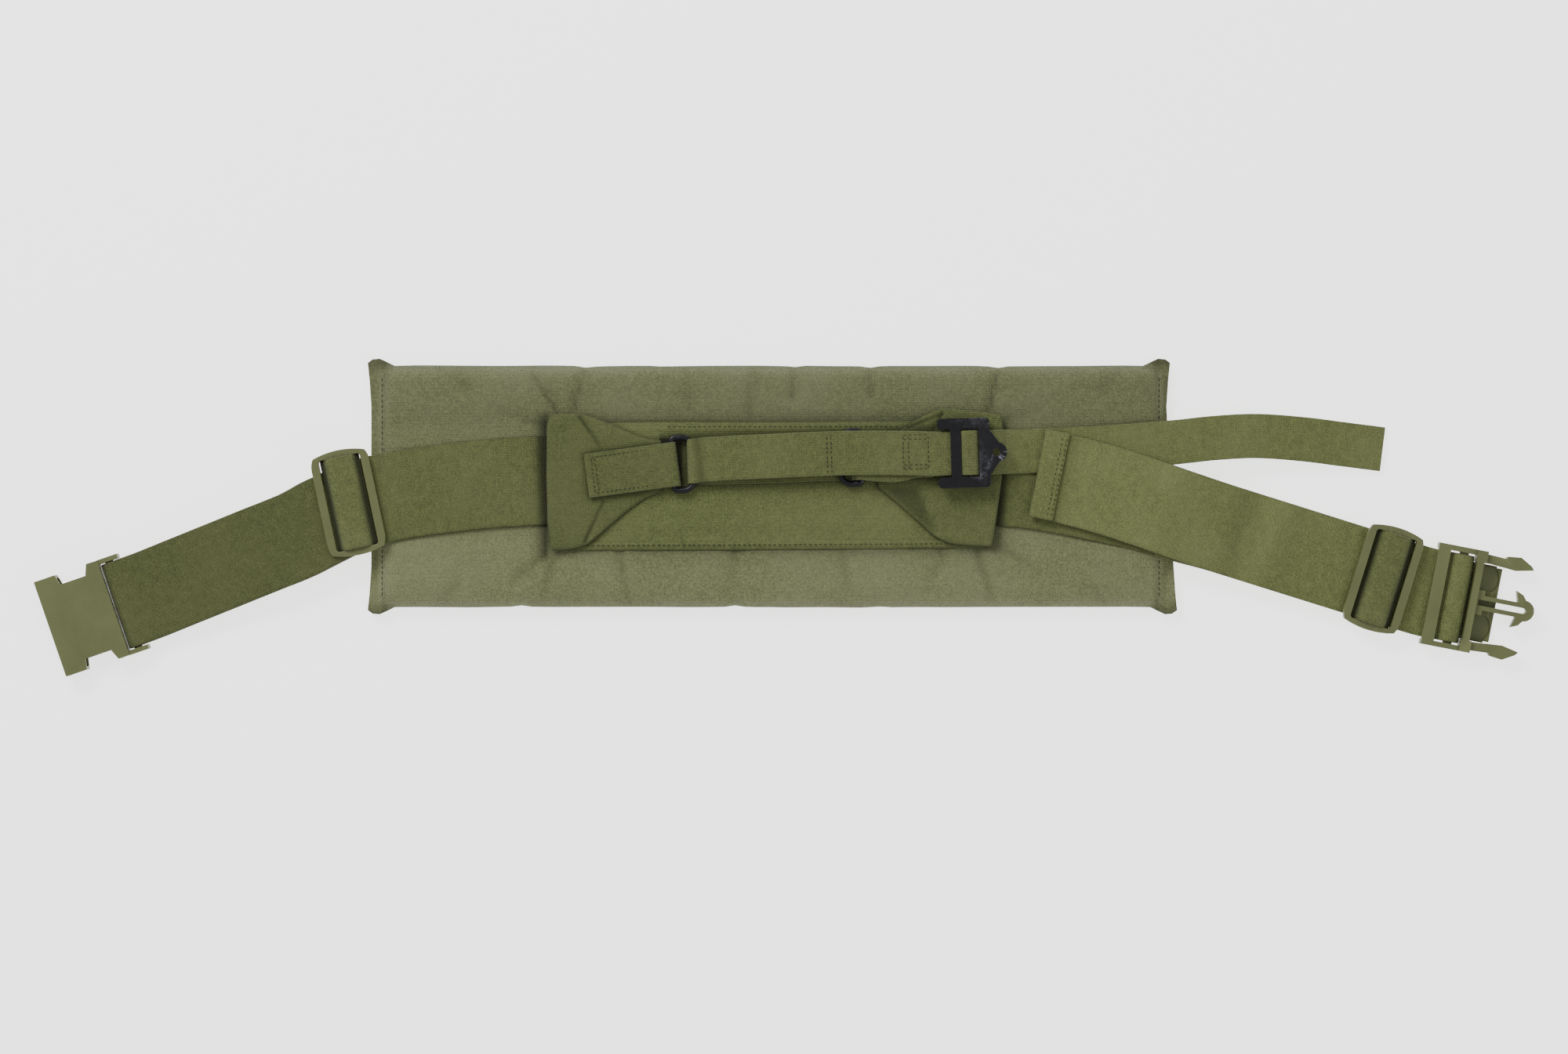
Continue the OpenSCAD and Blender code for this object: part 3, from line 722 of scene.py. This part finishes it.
class Wing:
    """The straight run of belt from the pad's end to a buckle: two layers, each cut halfway."""

    def __init__(self, side, half):
        self.side, self.half = side, half
        self.fold, self.buckle = hinge(f"{side}_wing_fold"), hinge(f"{half}_fold")
        run = self.buckle - self.fold
        self.along = Vector((run.x, run.y, 0)).normalized()
        across = Vector((-self.along.y, self.along.x, 0))
        normal = run.cross(across).normalized()
        if normal.z < 0:
            normal = -normal
        self.off = normal * (BELT_T / 2 + 0.08)
        self.meet = self.fold + run * 0.5
        axis = JOINTS[f"{half}_fold"]["axis"]
        self.toward_bar = Vector((-axis[1], axis[0], 0)).normalized()
        if self.toward_bar.dot(self.along) < 0:
            self.toward_bar = -self.toward_bar

    def layer(self, way, *shares):
        """Points of the lower (-1) or upper (1) layer, at shares of the run."""
        return [self.fold.lerp(self.buckle, t) + way * self.off for t in shares]

    def lay(self, strap, thick, tone, at_fold, at_buckle):
        """The wing's four pieces. The last two pairs give spans before and after each hinge, which are handed
        to bend_to.
        """
        side, half, along = self.side, self.half, self.along
        start, end = self.fold - along * at_fold[0], self.fold + along * at_fold[1]
        for level, section in (("lower", 1), ("upper", 4)):
            piece = lay_strap(strap, f"{side}_wing_near_{level}", section, BELT_W, thick, "laid",
                              [f"pad_{side}_half", half], [f"{side}_wing_{level}"], tone=tone)
            bend_to(piece, f"{side}_end", f"{side}_wing", start, end)
        start, end = self.buckle - along * at_buckle[0], self.buckle + along * at_buckle[1]
        for part, section, nodes in (("loop", 2, [f"{half}_loop"]), ("far_upper", 3, [])):
            piece = lay_strap(strap, f"{side}_wing_{part}", section, BELT_W, thick, "folded", [half], nodes,
                              tone=tone)
            bend_to(piece, f"{side}_wing", half, start, end)


def build_left_belt():
    wing = Wing("left", "female_buckle")
    clearance = 1.1
    radius = FEMALE_BAR_R + clearance + BELT_T / 2
    on_pad = plan([(0, 4.4), (-50, 4.5), (-100, 4.2), (-140, 2.6), (-170, 0.2), (-200, -3.6), (-222, -7.8),
                   (-236, -12.6)], BELT_Z)
    lower = [(-249, -19.0, BELT_Z)] + wing.layer(-1, 0.08, 0.25) + [wing.meet - wing.off]
    loop = wing.layer(-1, 0.75, 0.93)
    loop += arc(FEMALE_BAR, radius, -100, 100, wing.toward_bar, 12)
    loop += wing.layer(1, 0.93, 0.75)
    upper = wing.layer(1, 0.3, 0.06)
    upper += [(-252, -20.2, BELT_Z + BELT_T + 0.2), (-243, -16.2, BELT_Z + BELT_T + 0.2)]
    strap = Strap([on_pad, lower, loop, [wing.meet + wing.off], upper])

    piece = lay_strap(strap, "belt_left", 0, BELT_W, BELT_T, "laid", ["pad_left_half"],
                      ["belt_centre", "belt_left_inner"], tone=shadow_beside_panel(0.98, -130.5, 1.1))
    bend_to(piece, "pad", "left_end", (-122, 0, 12), (-158, 0, 12))
    wing.lay(strap, BELT_T, 0.81, (6, 14), (14, 1))


def build_right_belt():
    wing = Wing("right", "male_buckle")
    rear = wing.buckle + wing.toward_bar * 6.5
    rear.z = 0

    def at(x, z):
        """A point x along the male buckle from its rear, at height z."""
        return rear + wing.toward_bar * x + Vector((0, 0, z))

    # Drawn a little thinner than in the CAD model
    thick = BELT_T - 0.2
    on_pad = plan([(0, 4.4), (50, 4.4), (100, 3.4), (135, 2.2), (165, -2.0), (200, -9.5), (222, -15.0)],
                  BELT_Z)
    lower = [(233, -18.2, BELT_Z)] + wing.layer(-1, 0.1, 0.3) + [wing.meet - wing.off]
    loop = wing.layer(-1, 0.75, 0.95)
    loop += [at(-4, 3.6), at(6, 3.0), at(15, 2.9), at(16.9, 4.6), at(16.9, 6.6), at(15.2, 8.6), at(11.4, 9.5),
             at(7.8, 8.7), at(6.0, 6.9), at(3.2, 5.4), at(-3, 5.9)]
    loop += wing.layer(1, 0.95, 0.75)
    upper = wing.layer(1, 0.3, 0.1)
    upper += [(232, -16.6, FREE_END_Z - 0.6), (222, -13.2, FREE_END_Z - 0.1)]
    free = plan([(208, -8.4), (190, -2.6), (171, 2.6), (151.5, 7.3)], FREE_END_Z)
    strap = Strap([on_pad, lower, loop, [wing.meet + wing.off], upper, free])

    piece = lay_strap(strap, "belt_right", 0, BELT_W, thick, "laid", ["pad_right_half"],
                      ["belt_right_inner"], tone=shadow_beside_panel(1.0, 132.5, 0.8))
    bend_to(piece, "pad", "right_end", (124, 0, 12), (152, 0, 12))

    def crease_shade_and_sheen(p):
        """Painted shade in two cross creases where the belt has been folded, and a painted sheen that varies
        along it.
        """
        x = (p - wing.fold).dot(wing.along)
        return 1.3 * (1 - 0.16 * math.exp(-((x - 22) / 7) ** 2) + 0.1 * math.exp(-((x - 38) / 8) ** 2)
                       - 0.08 * math.exp(-((x - 52) / 6) ** 2))

    wing.lay(strap, thick, crease_shade_and_sheen, (12, 14), (6, 3))
    piece = lay_strap(strap, "belt_free_end", 5, BELT_W, thick, "laid", ["belt_right"],
                      ["belt_right_free_end"], tone=lambda p: 1.4 - 0.3 * math.exp(-((p.x - 163) / 5) ** 2))
    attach(piece, "right_end")


def build_hem():
    """The turned-over end of the belt, with its two rows of stitching."""
    turn = math.radians(FREE_END_TURN)
    along = Vector((math.cos(turn), math.sin(turn), 0))
    across = Vector((-along.y, along.x, 0))
    tip = Vector((149.8, 7.6, 0))
    z0, z1 = FREE_END_Z, FREE_END_Z + BELT_T + 0.1
    path = [tip + along * 13.0 + Vector((0, 0, z1 - 0.15)), tip + along * 9 + Vector((0, 0, z1 + 0.1)),
            tip + along * 4 + Vector((0, 0, z1 + 0.15))]
    path = catmull(path, 1.2)
    path += arc(tip + along * 1.2 + Vector((0, 0, (z0 + z1) / 2)), (z1 - z0) / 2, 90, 250, along, 8)
    piece = lay_strap(Strap([path], 1.0), "hem", 0, BELT_W, BELT_T - 0.1, "folded", ["belt_free_end"],
                      ["free_end_hem"], tone=1.28)
    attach(piece, "right_end")
    rows = []
    for offset in (9.6, 12.2):
        a = tip + along * offset - across * (BELT_W / 2 - 2.5)
        b = tip + along * offset + across * (BELT_W / 2 - 2.5)
        rows.append([(a.x, a.y), (b.x, b.y)])
    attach(stitches("hem_stitching", rows, lambda x, y: z1 + BELT_T / 2 + 0.05, pitch=2.7), "right_end")


build_left_belt()
build_right_belt()
build_hem()


def build_adjuster_loops():
    """Belt webbing humped over each adjuster's middle bar."""
    # Wider than the webbing, so that no floor shows past its edges
    width = BELT_W + 2.4
    half = [(11.2, 0.95), (9.6, 1.05), (8.3, 2.4), (6.9, 4.3), (4.2, 5.3), (0, 5.5)]
    profile = [(-x, z) for x, z in half] + half[-2::-1]
    for body in ("left_adjuster", "right_adjuster"):
        frame_low, frame_high = box_mm(body)
        if body == "left_adjuster":
            turn = math.radians(LEFT_ADJUSTER_TURN)
            along = Vector((math.cos(turn), math.sin(turn), 0))
            normal = Vector((0, 0, 1))
            low, high = box_mm("left_adjuster_loop")
            centre = (low + high) / 2
            centre.z = frame_low.z
        else:
            along = -Vector(JOINTS["right_adjuster_slide"]["axis"]).normalized()
            across = Vector((-along.y, along.x, 0)).normalized()
            normal = along.cross(across).normalized()
            centre = (frame_low + frame_high) / 2 - normal * 2.0

        def slot_painted_shade(p, middle=centre, way=along):
            """Painted shade down in the two slots, beside the hump over the middle bar, where the hump's feet
            fill the slots.
            """
            return 1.08 - 0.82 / (1 + math.exp((7.9 - abs((p - middle).dot(way))) / 0.35))

        path = catmull([centre + along * x + normal * z for x, z in profile], 1.0)
        piece = lay_strap(Strap([path], 1.0), body + "_hump", 0, width, BELT_T, "folded", [body],
                          [body + "_loop"], tone=slot_painted_shade)
        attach(piece, body)


build_adjuster_loops()


# ---- wrap panel and flaps ----

PANEL_OUTLINE = [(-125.5, 30), (-124, 35.6), (-60, 36.2), (0, 36.0), (60, 36.4), (127, 36.6), (129.3, 30),
                 (128.6, 4), (125.4, -22), (123.6, -34.6), (60, -35.0), (0, -35.6), (-60, -36.0),
                 (-116, -36.2), (-123.5, -35.0), (-125.3, -20)]


def panel_top(x, y):
    over_belt = math.exp(-max(0.0, abs(y - 4) - 24) ** 2 / 26)
    edge = outline_distance((x, y), PANEL_OUTLINE)
    z = PANEL_Z + PANEL_T - 1.1 * (1 - over_belt)
    z += 0.5 * math.exp(-((edge - 3.4) / 1.5) ** 2) - 0.6 * math.exp(-edge / 1.0)
    return z + 0.12 * noise.noise(Vector((x * 0.06, y * 0.09, 9.1))) * (1 if abs(y - 15) > 16 else 0)


LEFT_FLAP = [(-125.3, 34), (-123.6, 39.8), (-117, 41.0), (-107, 40.8), (-97, 38.0), (-89, 34.6), (-82, 31.4),
             (-75, 28.6), (-68, 26.6), (-61, 25.8), (-60, 9), (-61, -2.4), (-70, -6.6), (-80, -13.4),
             (-91, -22.6), (-102, -32.2), (-108, -34.4), (-117, -35.8), (-123, -35.4), (-124.8, -20),
             (-125.6, 5)]
RIGHT_FLAP = [(74, 32.6), (84, 38.6), (95.5, 44.2), (110, 42.6), (123, 41.2), (129, 39.8), (130.4, 33),
              (129.6, 5), (126.5, -18), (124, -33.8), (112, -33.2), (100, -32), (92.4, -28.4), (80, -17.4),
              (66, -5.2), (59.6, 0.2), (61, 14), (64, 26)]
LEFT_TUCKS = [((-107, 39), (-94.5, 20.5)), ((-104, -31), (-93.5, -8.4))]


def left_flap_top(x, y):
    edge = outline_distance((x, y), LEFT_FLAP)
    fold = 1.7 * math.exp(-((x + 125.3) / 7.0) ** 2)
    z = FLAP_Z + 2.0 + fold - 1.2 * math.exp(-edge / 0.9)
    for a, b in LEFT_TUCKS:
        z += crease((x, y), a, b, 1.0, -1.3)
    z += (0.35 * math.exp(-((x + 95) / 16) ** 2 - ((y - 31) / 9) ** 2)
          + 0.3 * math.exp(-((x + 92) / 14) ** 2 - ((y + 18) / 9) ** 2))
    drift = ((x + 107) * 0.61 + (y - 39) * 0.79) * 0.001
    return z + 0.15 * noise.noise(Vector((x * 0.08, y * 0.07, drift)))


def right_flap_top(x, y):
    edge = outline_distance((x, y), RIGHT_FLAP)
    fold = 1.2 * math.exp(-((x - 129.5) / 6.0) ** 2)
    z = FLAP_Z + 1.7 + fold - 1.1 * math.exp(-edge / 0.9)
    z += crease((x, y), (60.5, -0.8), (92, -27.6), 1.3, 1.5)
    hollow = math.exp(-((x - 79) / 11) ** 2 - ((y + 8) / 7.5) ** 2)
    step = 1 / (1 + math.exp(-((x - 83.5) - (-2 - y) * 0.36) / 1.2))
    z -= 1.1 * hollow * (1 - step)
    z += crease((x, y), (77, 33), (96, 40.4), 1.0, -1.0) + crease((x, y), (96, 40.4), (91, 31), 1.0, -0.9)
    return z + 0.15 * noise.noise(Vector((x * 0.08, y * 0.07, 2.2)))


def strap_painted_shadow(x, y):
    """Painted shadow just beyond the cinch strap's edges, and painted shade in the slot between the left tab
    and the strap.
    """
    if x < -62 or x > 100:
        return 1.0
    aside = abs(y - strap_height(x) - 0.6)
    tone = 1 - 0.5 * math.exp(-max(0.0, aside - 14.2) / 1.5)
    if x < -49 and aside < 13:
        tone *= 0.3
    return tone


def tab_painted_shadow(x, y):
    """Painted shadow round the left tab, on the flap that it is sewn to."""
    tab_from, turn = hinge("left_ring_swing"), math.radians(LEFT_TAB_TURN)
    dx, dy = tab_from.x - x, tab_from.y - y
    along = dx * math.cos(turn) + dy * math.sin(turn)
    aside = abs(dy * math.cos(turn) - dx * math.sin(turn))
    gap = math.hypot(max(0.0, along - LEFT_TAB_LENGTH), max(0.0, aside - STRAP_W / 2))
    return 1 - 0.5 * math.exp(-gap / 1.2)


def panel_painted_shade(x, y):
    # Painted shade round the flaps, along the panel's edge and on both sides of the hem's ridge, with the
    # strap's painted shadow
    flap = min(outline_distance((x, y), LEFT_FLAP), outline_distance((x, y), RIGHT_FLAP))
    edge = outline_distance((x, y), PANEL_OUTLINE)
    tone = 1.08 * (1 - 0.5 * math.exp(-flap / 1.4)) * (1 - 0.3 * math.exp(-edge / 0.9))
    tone *= 1 - 0.16 * math.exp(-((edge - 5.2) / 0.6) ** 2) - 0.12 * math.exp(-((edge - 2.2) / 0.5) ** 2)
    return tone * strap_painted_shadow(x, y)


def left_flap_painted_light(x, y):
    # Painted shadow round the tab, painted shade along the flap's edge and in the tucks
    tone = 0.84 * tab_painted_shadow(x, y) * (1 - 0.3 * math.exp(-outline_distance((x, y), LEFT_FLAP) / 0.8))
    for a, b in LEFT_TUCKS:
        tone *= 1 + crease((x, y), a, b, 0.9, -0.6)
    # A painted highlight just inside the flap's lower slanted edge
    rim = segment_distance((x, y), (-102, -32.2), (-61, -2.4))[0]
    return tone * (1 + 0.18 * math.exp(-((rim - 1.8) / 0.8) ** 2))


def right_flap_painted_light(x, y):
    # Painted shade: the strap's painted shadow and darkening along the flap's edge
    tone = 0.9 * strap_painted_shadow(x, y) * (1 - 0.3 * math.exp(-outline_distance((x, y), RIGHT_FLAP) / 0.8))
    # Painted shade on the folded corner's triangle beside the ridge
    below = (y + 0.4) + (x - 59) * 0.83
    inner = (83.5 + (-2 - y) * 0.36) - x
    shade = 1 / (1 + math.exp(-below / 0.8)) / (1 + math.exp(-inner / 0.8)) / (1 + math.exp((y + 1) / 0.8))
    tone *= 1 - 0.45 * shade
    # Painted highlights along the ridge and just inside the lower slanted edge, and painted shade in the two
    # creases at the top
    tone *= 1 + crease((x, y), (60.5, -0.8), (92, -27.6), 0.9, 0.3)
    rim = segment_distance((x, y), (59.6, 0.2), (92.4, -28.4))[0]
    tone *= 1 + 0.35 * math.exp(-((rim - 1.6) / 0.8) ** 2)
    tone *= 1 + crease((x, y), (77, 33), (96, 40.4), 0.9, -0.55)
    return tone * (1 + crease((x, y), (96, 40.4), (91, 31), 0.9, -0.5))


def build_panel():
    panel = laid_sheet("panel", rounded(PANEL_OUTLINE, 2.5), panel_top, lambda x, y: panel_top(x, y) - 1.15,
                       DUCK, 1.3, panel_painted_shade)
    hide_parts("wrap_panel")
    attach(panel, "pad")
    for side, outline, top, thick, tone in (("left", LEFT_FLAP, left_flap_top, 2.0, left_flap_painted_light),
                                            ("right", RIGHT_FLAP, right_flap_top, 1.8, right_flap_painted_light)):
        flap = laid_sheet(f"flap_{side}", rounded(outline, 2.0), top,
                          lambda x, y, t=top, d=thick: t(x, y) - d, DUCK, 1.0, tone)
        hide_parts(f"{side}_flap")
        xs, ys = [p[0] for p in outline], [p[1] for p in outline]
        (max(ys) - min(ys)) * MM
        (max(xs) - min(xs)) * MM
        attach(flap, "pad")
    hem_rows = [[(-112, -33.4), (120, -32.0)], [(-58, 33.4), (72, 33.6)]]
    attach(stitches("panel_hem_stitching", hem_rows, lambda x, y: panel_top(x, y) + 0.02, pitch=2.8), "pad")


build_panel()


# ---- tabs, rings and cinch strap ----

STRAP_ALONG = Vector((math.cos(math.radians(STRAP_TURN)), math.sin(math.radians(STRAP_TURN)), 0))
STRAP_ACROSS = Vector((-STRAP_ALONG.y, STRAP_ALONG.x, 0))
STRAP_START = Vector((STRAP_X, STRAP_Y, 0))
CINCH = hinge("cinch_buckle_lift")
STRAP_COLUMNS = 14


def strap_at(x, z, y=0.0):
    """A point of the cinch strap: x along it from the left ring's bar, z the height."""
    return tuple(STRAP_START + STRAP_ALONG * x + STRAP_ACROSS * y + Vector((0, 0, z)))


def cinch_at(x, z):
    return tuple(Vector((CINCH.x, CINCH.y, 0)) + STRAP_ALONG * x + Vector((0, 0, z)))


def tab(side, direction, length):
    """Two layers of strap webbing, folded round a ring's bar and sewn to the flap."""
    name, ring = f"tab_{side}", hinge(f"{side}_ring_swing")
    along = Vector((math.cos(math.radians(direction)), math.sin(math.radians(direction)), 0))
    across = Vector((-along.y, along.x, 0))
    radius = RING_WIRE_R + 0.15 + STRAP_T / 2
    under, over = TAB_Z + STRAP_T / 2 - 0.1, TAB_Z + STRAP_T * 1.5 + 0.15
    flat = Vector((ring.x, ring.y, 0))

    def point(x, z):
        return flat + along * x + Vector((0, 0, z))

    path = catmull([point(length, over - 0.3), point(length - 3, over), point(length * 0.5, over + 0.1),
                    point(7.5, over + 0.6)], 1.2)
    path += arc(ring, radius, 75, 285, along, 12)
    path += catmull([point(7.5, under - 0.2), point(length * 0.5, under), point(length - 1, under)], 1.2)
    piece = lay_strap(Strap([path], 1.2), name, 0, STRAP_W, STRAP_T, "folded", [f"flap_{side}"],
                      [f"{side}_tab"], columns=STRAP_COLUMNS, tone=0.9)
    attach(piece, "pad")
    half = STRAP_W / 2 - 2.4
    near, far = 10.0, length - 3.5

    def corner(x, y):
        p = flat + along * x + across * y
        return (p.x, p.y)

    rows = [[corner(near, -half), corner(near, half), corner(far, half), corner(far, -half),
             corner(near, -half)],
            [corner(near + 2.2, -half + 0.6), corner(near + 2.2, half - 0.6)],
            [corner(far - 2.2, -half + 0.6), corner(far - 2.2, half - 0.6)]]
    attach(stitches(name + "_stitching", rows, lambda x, y: over + STRAP_T / 2 + 0.12, pitch=2.5), "pad")


def build_cinch_strap():
    tab("left", 180 + LEFT_TAB_TURN, LEFT_TAB_LENGTH)
    tab("right", STRAP_TURN, RIGHT_TAB_LENGTH)

    bow = Vector(strap_at(RING_REACH, RING_Z))
    radius = RING_WIRE_R + 0.2 + STRAP_T / 2
    top_z = RING_Z + radius
    bow_x = hinge("right_ring_swing").x - STRAP_START.x - RING_REACH
    crown = HIGH_RUN_Z + 3.6
    bar = Vector(cinch_at(17.2, HIGH_LOW_Z + STRAP_T / 2 + 1.4))

    anchor = arc(bar, 1.9, 110, -90, STRAP_ALONG, 10)
    anchor += [cinch_at(12, HIGH_LOW_Z), cinch_at(4, HIGH_LOW_Z), cinch_at(-12, HIGH_LOW_Z),
               strap_at(bow_x + 30, HIGH_LOW_Z, -2.8), strap_at(bow_x + 10.5, HIGH_LOW_Z, -0.8),
               strap_at(bow_x + 7.4, HIGH_LOW_Z - 1.8, -0.8), strap_at(bow_x + 4.6, LOW_RUN_Z + 0.3, -0.8),
               strap_at(bow_x + 1, LOW_RUN_Z, -0.8), strap_at(84, LOW_RUN_Z, -0.8)]
    fold = [strap_at(50, LOW_RUN_Z, -1.2), strap_at(20, LOW_RUN_Z, -0.8),
            strap_at(14.5, bow.z - radius, -0.3)]
    fold += arc(bow, radius, 265, 95, STRAP_ALONG, 12)
    fold += [strap_at(14.5, top_z + 0.02, 0.4), strap_at(20, top_z + 0.25, 0.8),
             strap_at(35, top_z + 0.9, 1.2), strap_at(60, HIGH_RUN_Z - 0.9, 1.6),
             strap_at(84, HIGH_RUN_Z - 0.4, 1.9)]
    top = [strap_at(104, HIGH_RUN_Z, 1.8), strap_at(130, HIGH_RUN_Z + 0.15, 0.9),
           cinch_at(-3, HIGH_RUN_Z + 0.1), cinch_at(8, HIGH_RUN_Z), cinch_at(12.2, HIGH_RUN_Z + 0.7),
           cinch_at(13.8, crown - 0.9), cinch_at(15.4, crown), cinch_at(19.0, crown),
           cinch_at(20.6, crown - 0.9), cinch_at(22, HIGH_RUN_Z + 0.6), cinch_at(24.6, HIGH_RUN_Z)]
    root = [cinch_at(28.5, HIGH_RUN_Z - 0.5), (127, 19.2, HIGH_RUN_Z - 2.2), (131.5, 19.3, TAIL_Z + 4.2)]
    middle = [(136, 19.4, TAIL_Z + 1.2), (141, 19.5, TAIL_Z + 0.15), (150, 19.9, TAIL_Z),
              (175, 21.0, TAIL_Z), (200, 22.6, TAIL_Z), (222, 24.3, TAIL_Z)]
    tail_low = box_mm("strap_tail")[0].z + STRAP_T / 2

    def tail_z(x):
        t = (x - 222) / (345 - 222)
        return TAIL_Z + (tail_low + 0.3 - TAIL_Z) * max(0.0, t - 0.06) / 0.94

    tail = [(x, y, tail_z(x) + lift) for x, y, lift in
            ((233, 25.4, 0), (250, 27.2, 0.3), (273, 28.3, 0.6), (299, 26.6, 0.2), (322, 23.8, 0),
             (344.6, 21.0, 0))]
    strap = Strap([anchor, fold, top, root, middle, tail], 1.2)

    def slot_shade(p):
        """Painted shade where the strap comes out of the left ring."""
        x = (p - STRAP_START).dot(STRAP_ALONG)
        return 1.02 - 0.35 * math.exp(-((x - 15) / 2.5) ** 2)

    at_buckle = ((CINCH.x - 10, CINCH.y, CINCH.z), (CINCH.x + 4, CINCH.y, CINCH.z))
    sections = (
        ("strap_under", 1.1, "folded", ["tab_right"], ["strap_lower_run", "strap_anchor"], 0.9,
         ("pad", "cinch_buckle"), at_buckle),
        ("strap_fold", STRAP_T, "folded", ["left_ring", "panel"], ["strap_bight", "strap_upper_run"],
         slot_shade, ("pad", "left_ring"), ((-12, 14, 20), (-40, 14, 20))),
        ("strap_top", STRAP_T, "laid", ["tab_right", "cinch_buckle"], ["strap_in_buckle"], 1.0,
         ("pad", "cinch_buckle"), at_buckle),
        ("strap_behind_buckle", STRAP_T, "laid", ["flap_right"], ["strap_tail_root"], 1.0,
         ("pad", "cinch_buckle"), ((131.5, 19, 22), (119, 19, 24))),
        ("strap_under_belt", STRAP_T, "laid", ["belt_right"], ["strap_tail_middle"], 1.18,
         ("pad", "right_end"), ((134, 19, 14), (152, 19, 14))),
        ("strap_end", STRAP_T, "laid", ["pad_right_half"], ["strap_tail"], 1.24,
         ("right_end", "strap_tail"), ((224, 25, 14), (245, 25, 14))),
    )
    for section, (name, thick, held, rests_on, nodes, tone, bodies, reach) in enumerate(sections):
        piece = lay_strap(strap, name, section, STRAP_W, thick, held, rests_on, nodes,
                          columns=STRAP_COLUMNS, tone=tone)
        bend_to(piece, *bodies, *reach)

    surface = HIGH_RUN_Z + STRAP_T / 2 + 0.12
    marks = [[strap_at(x, 0, -9)[:2], strap_at(x, 0, 12)[:2]] for x in (86.5, 88.8)]
    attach(stitches("strap_keeper_stitching", marks, lambda x, y: surface - 0.38), "pad")
    marks = [[strap_at(129, 0, y)[:2], strap_at(143, 0, y)[:2]] for y in (-8.0, -5.6, 8.6, 11)]
    marks += [[strap_at(x, 0, -8)[:2], strap_at(x, 0, 11)[:2]] for x in (129, 132, 143)]
    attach(stitches("strap_box_stitching", marks, lambda x, y: surface + 0.1), "pad")


build_cinch_strap()


# ---- hardware: the CAD nodes keep their shape, with eased edges and their finishes ----

def ease_edges(node, width, material):
    piece = frame["nodes"][node]
    weld = piece.modifiers.new("weld", "WELD")
    weld.merge_threshold = 0.00002
    bevel = piece.modifiers.new("eased edges", "BEVEL")
    bevel.width = width * MM
    bevel.segments = 3
    bevel.limit_method = "ANGLE"
    bevel.angle_limit = math.radians(35)
    bevel.harden_normals = True
    normals = piece.modifiers.new("normals", "WEIGHTED_NORMAL")
    normals.keep_sharp = True
    for polygon in piece.data.polygons:
        polygon.use_smooth = True
    piece.data.materials.clear()
    piece.data.materials.append(material)


for hardware, easing in (("left_adjuster", 0.9), ("right_adjuster", 0.9), ("female_buckle", 0.55),
                         ("male_buckle", 0.4), ("upper_arm", 0.7), ("lower_arm", 0.7)):
    ease_edges(hardware, easing, PLASTIC)
for hardware, easing in (("cinch_buckle", 0.5), ("left_ring", 0.0), ("right_ring", 0.0)):
    ease_edges(hardware, easing, METAL)
